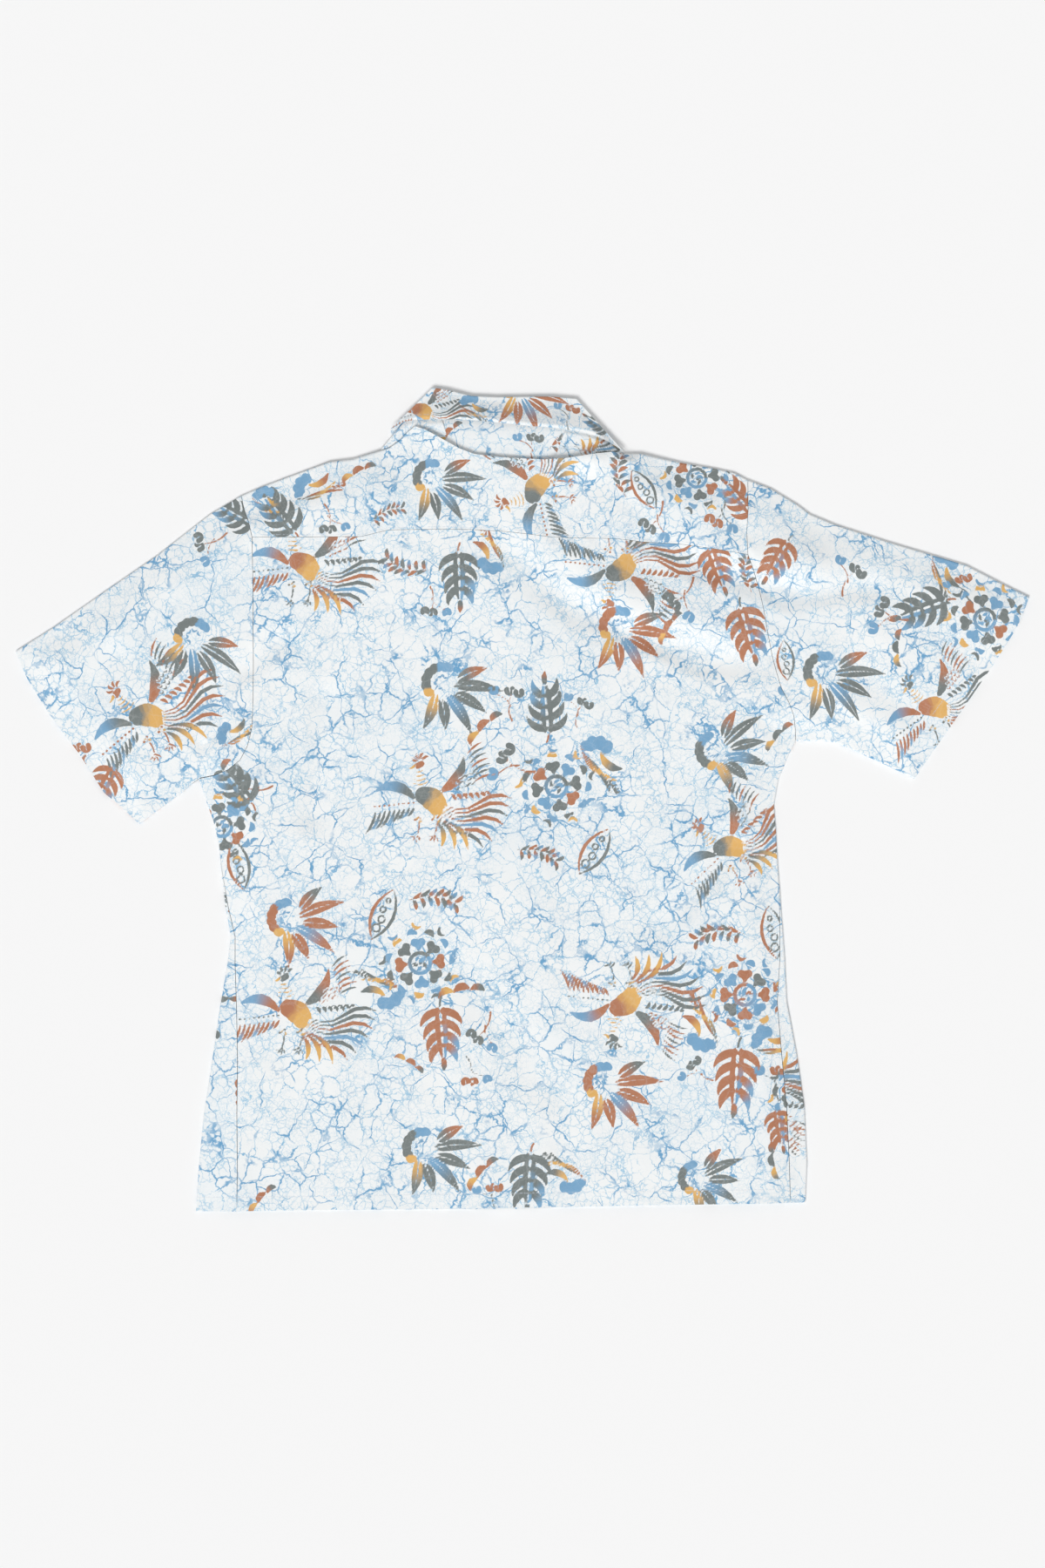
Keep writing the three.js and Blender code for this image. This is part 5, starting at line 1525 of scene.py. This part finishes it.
class SHIRT_OT_sleeves(bpy.types.Operator):
    """Build the two short sleeves"""

    bl_idname = "shirt.sleeves"
    bl_label = "Sleeves"

    def execute(self, context):
        sizes = context.scene.shirt_sizes
        for side, places in (("left", LEFT_SLEEVE_PRINT), ("right", RIGHT_SLEEVE_PRINT)):
            cuff = np.array(SLEEVES[side]["cuff"], float)
            stitch = lambda plan, upper, cuff=cuff: polyline_distance(plan, cuff) - sizes.cuff_hem / MM
            hidden = [(kind, x + 30, y - 20, turn + 90, -size) for kind, x, y, turn, size in places]
            sleeve = cloth_piece("sleeve_tube_" + side, sleeve_grid(side), lying, sizes.cell * SLEEVE_CELL,
                                 sizes.inner_cell, (places, hidden), stitch, context, ring=True)
            finish_cloth(sleeve, "sleeve_" + side)
        return {"FINISHED"}


class SHIRT_OT_collar(bpy.types.Operator):
    """Build the back of the collar and its two front halves"""

    bl_idname = "shirt.collar"
    bl_label = "Collar"

    def execute(self, context):
        sizes = context.scene.shirt_sizes
        fine = sizes.cell * COLLAR_CELL
        edge = lambda plan, upper: np.where(
            upper, polyline_distance(plan, COLLAR_FREE) - sizes.collar_stitch / MM, NO_STITCH
        )
        base = lambda p, layer: back_bottom(p)
        back = cloth_piece("collar_back_piece", back_collar_grid(), base, fine, fine,
                           (FALL_PRINT, STAND_PRINT), edge, context)
        finish_cloth(back, "collar_back")
        level = lambda p, layer: np.zeros(p.shape[:-1])
        for side in ("left", "right"):
            free = np.array(FRONT_COLLARS[side]["free"], float)
            edge = lambda plan, upper, free=free: polyline_distance(plan, free) - sizes.collar_stitch / MM
            places = turned_over(FALL_PRINT, (-40, 660))
            leaf = cloth_piece("collar_front_" + side, front_collar_grid(side), level, fine,
                               sizes.hidden_cell, (places, places), edge, context)
            finish_cloth(leaf, "collar_" + side)
        return {"FINISHED"}


class SHIRT_OT_buttons(bpy.types.Operator):
    """Build the six fastened buttons under the lap"""

    bl_idname = "shirt.buttons"
    bl_label = "Buttons"

    def execute(self, context):
        sizes, colours = context.scene.shirt_sizes, context.scene.shirt_colours
        # Polished cream resin: a small soft highlight on the rim.
        resin = plain("polished_cream_resin", colours.button[:], 0.28, 0.5)
        radius, height = sizes.button / 2 / MM, sizes.button_height / MM
        turns = np.linspace(0, 2 * np.pi, BUTTON_SIDES + 1)[:-1]
        away, level = radius * BUTTON_PROFILE[:, :1], height * BUTTON_PROFILE[:, 1:]
        for number in range(BUTTON_COUNT):
            middle_y = BUTTON_TOP_Y - BUTTON_PITCH * number
            across, along_y = CENTRE_X + away * np.cos(turns), middle_y + away * np.sin(turns)
            body = np.stack([across, along_y, np.broadcast_to(level, across.shape)], axis=-1)
            ids = np.arange(across.size).reshape(across.shape)
            ids = np.hstack([ids, ids[:, :1]])
            caps = [list(ids[0, -2::-1]), list(ids[-1, :-1])]
            name = "button_piece_%d" % (number + 1)
            button = mesh_object(name, body.reshape(-1, 3), [quads_of(ids)], caps, [resin])
            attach(button, "root")
            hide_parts("button_%d" % (number + 1))
        return {"FINISHED"}


class SHIRT_OT_stage(bpy.types.Operator):
    """Make the floor, the lights and the camera"""

    bl_idname = "shirt.stage"
    bl_label = "Stage"

    def execute(self, context):
        scene, colours = context.scene, context.scene.shirt_colours
        mesh = bpy.data.meshes.new("Floor")
        corners = [(x * FLOOR_SIDE, y * FLOOR_SIDE, 0) for x, y in ((-1, -1), (1, -1), (1, 1), (-1, 1))]
        mesh.from_pydata(corners, [], [(0, 1, 2, 3)])
        # Matt pale paper: takes only soft shadows.
        mesh.materials.append(plain("matt_pale_paper", colours.floor[:], 1.0, 0.0))
        floor = bpy.data.objects.new("Floor", mesh)
        floor.location.z = -FLOOR_DROP
        scene.collection.objects.link(floor)
        world = bpy.data.worlds.new("Studio") if scene.world is None else scene.world
        scene.world = world
        world.use_nodes = True
        world.node_tree.nodes["Background"].inputs[0].default_value = (1, 1, 1, 1)
        world.node_tree.nodes["Background"].inputs[1].default_value = WORLD_STRENGTH
        for name, place, softness, strength in LIGHTS:
            data = bpy.data.lights.new(name, "SUN")
            data.angle, data.energy = np.radians(softness), strength
            lamp = bpy.data.objects.new(name, data)
            lamp.rotation_mode = "QUATERNION"
            lamp.rotation_quaternion = Vector(place).to_track_quat("Z", "Y")
            scene.collection.objects.link(lamp)
        camera = bpy.data.cameras.new("Camera")
        camera.lens, camera.sensor_width = LENS, SENSOR
        camera.clip_start, camera.clip_end = NEAR_CLIP, FAR_CLIP
        viewer = bpy.data.objects.new("Camera", camera)
        viewer.location = CAMERA_PLACE
        scene.collection.objects.link(viewer)
        scene.camera = viewer
        scene.view_settings.view_transform = "Standard"
        return {"FINISHED"}


class SHIRT_PT_panel(bpy.types.Panel):
    """Sizes, colours and the steps that build the shirt"""

    bl_idname = "SHIRT_PT_panel"
    bl_label = "Aloha shirt"
    bl_space_type = "VIEW_3D"
    bl_region_type = "UI"
    bl_category = "Shirt"

    def draw(self, context):
        for group in (context.scene.shirt_sizes, context.scene.shirt_colours):
            for name in group.__annotations__:
                self.layout.prop(group, name)
        for operator in OPERATORS:
            self.layout.operator(operator.bl_idname)


OPERATORS = (
    SHIRT_OT_fronts, SHIRT_OT_back, SHIRT_OT_sleeves, SHIRT_OT_collar, SHIRT_OT_buttons, SHIRT_OT_stage,
)
CLASSES = (ShirtSizes, ShirtColours, *OPERATORS, SHIRT_PT_panel)


def register():
    """Registers the classes and puts the sizes and colours on the scene."""
    for cls in CLASSES:
        bpy.utils.register_class(cls)
    bpy.types.Scene.shirt_sizes = bpy.props.PointerProperty(type=ShirtSizes)
    bpy.types.Scene.shirt_colours = bpy.props.PointerProperty(type=ShirtColours)


def unregister():
    """Takes the sizes, the colours and the classes away again."""
    del bpy.types.Scene.shirt_colours
    del bpy.types.Scene.shirt_sizes
    for cls in reversed(CLASSES):
        bpy.utils.unregister_class(cls)


def main():
    """Builds the shirt and its stage."""
    register()
    bpy.ops.shirt.stage()
    bpy.ops.shirt.fronts()
    bpy.ops.shirt.back()
    bpy.ops.shirt.sleeves()
    bpy.ops.shirt.collar()
    bpy.ops.shirt.buttons()


if __name__ == "__main__":
    main()
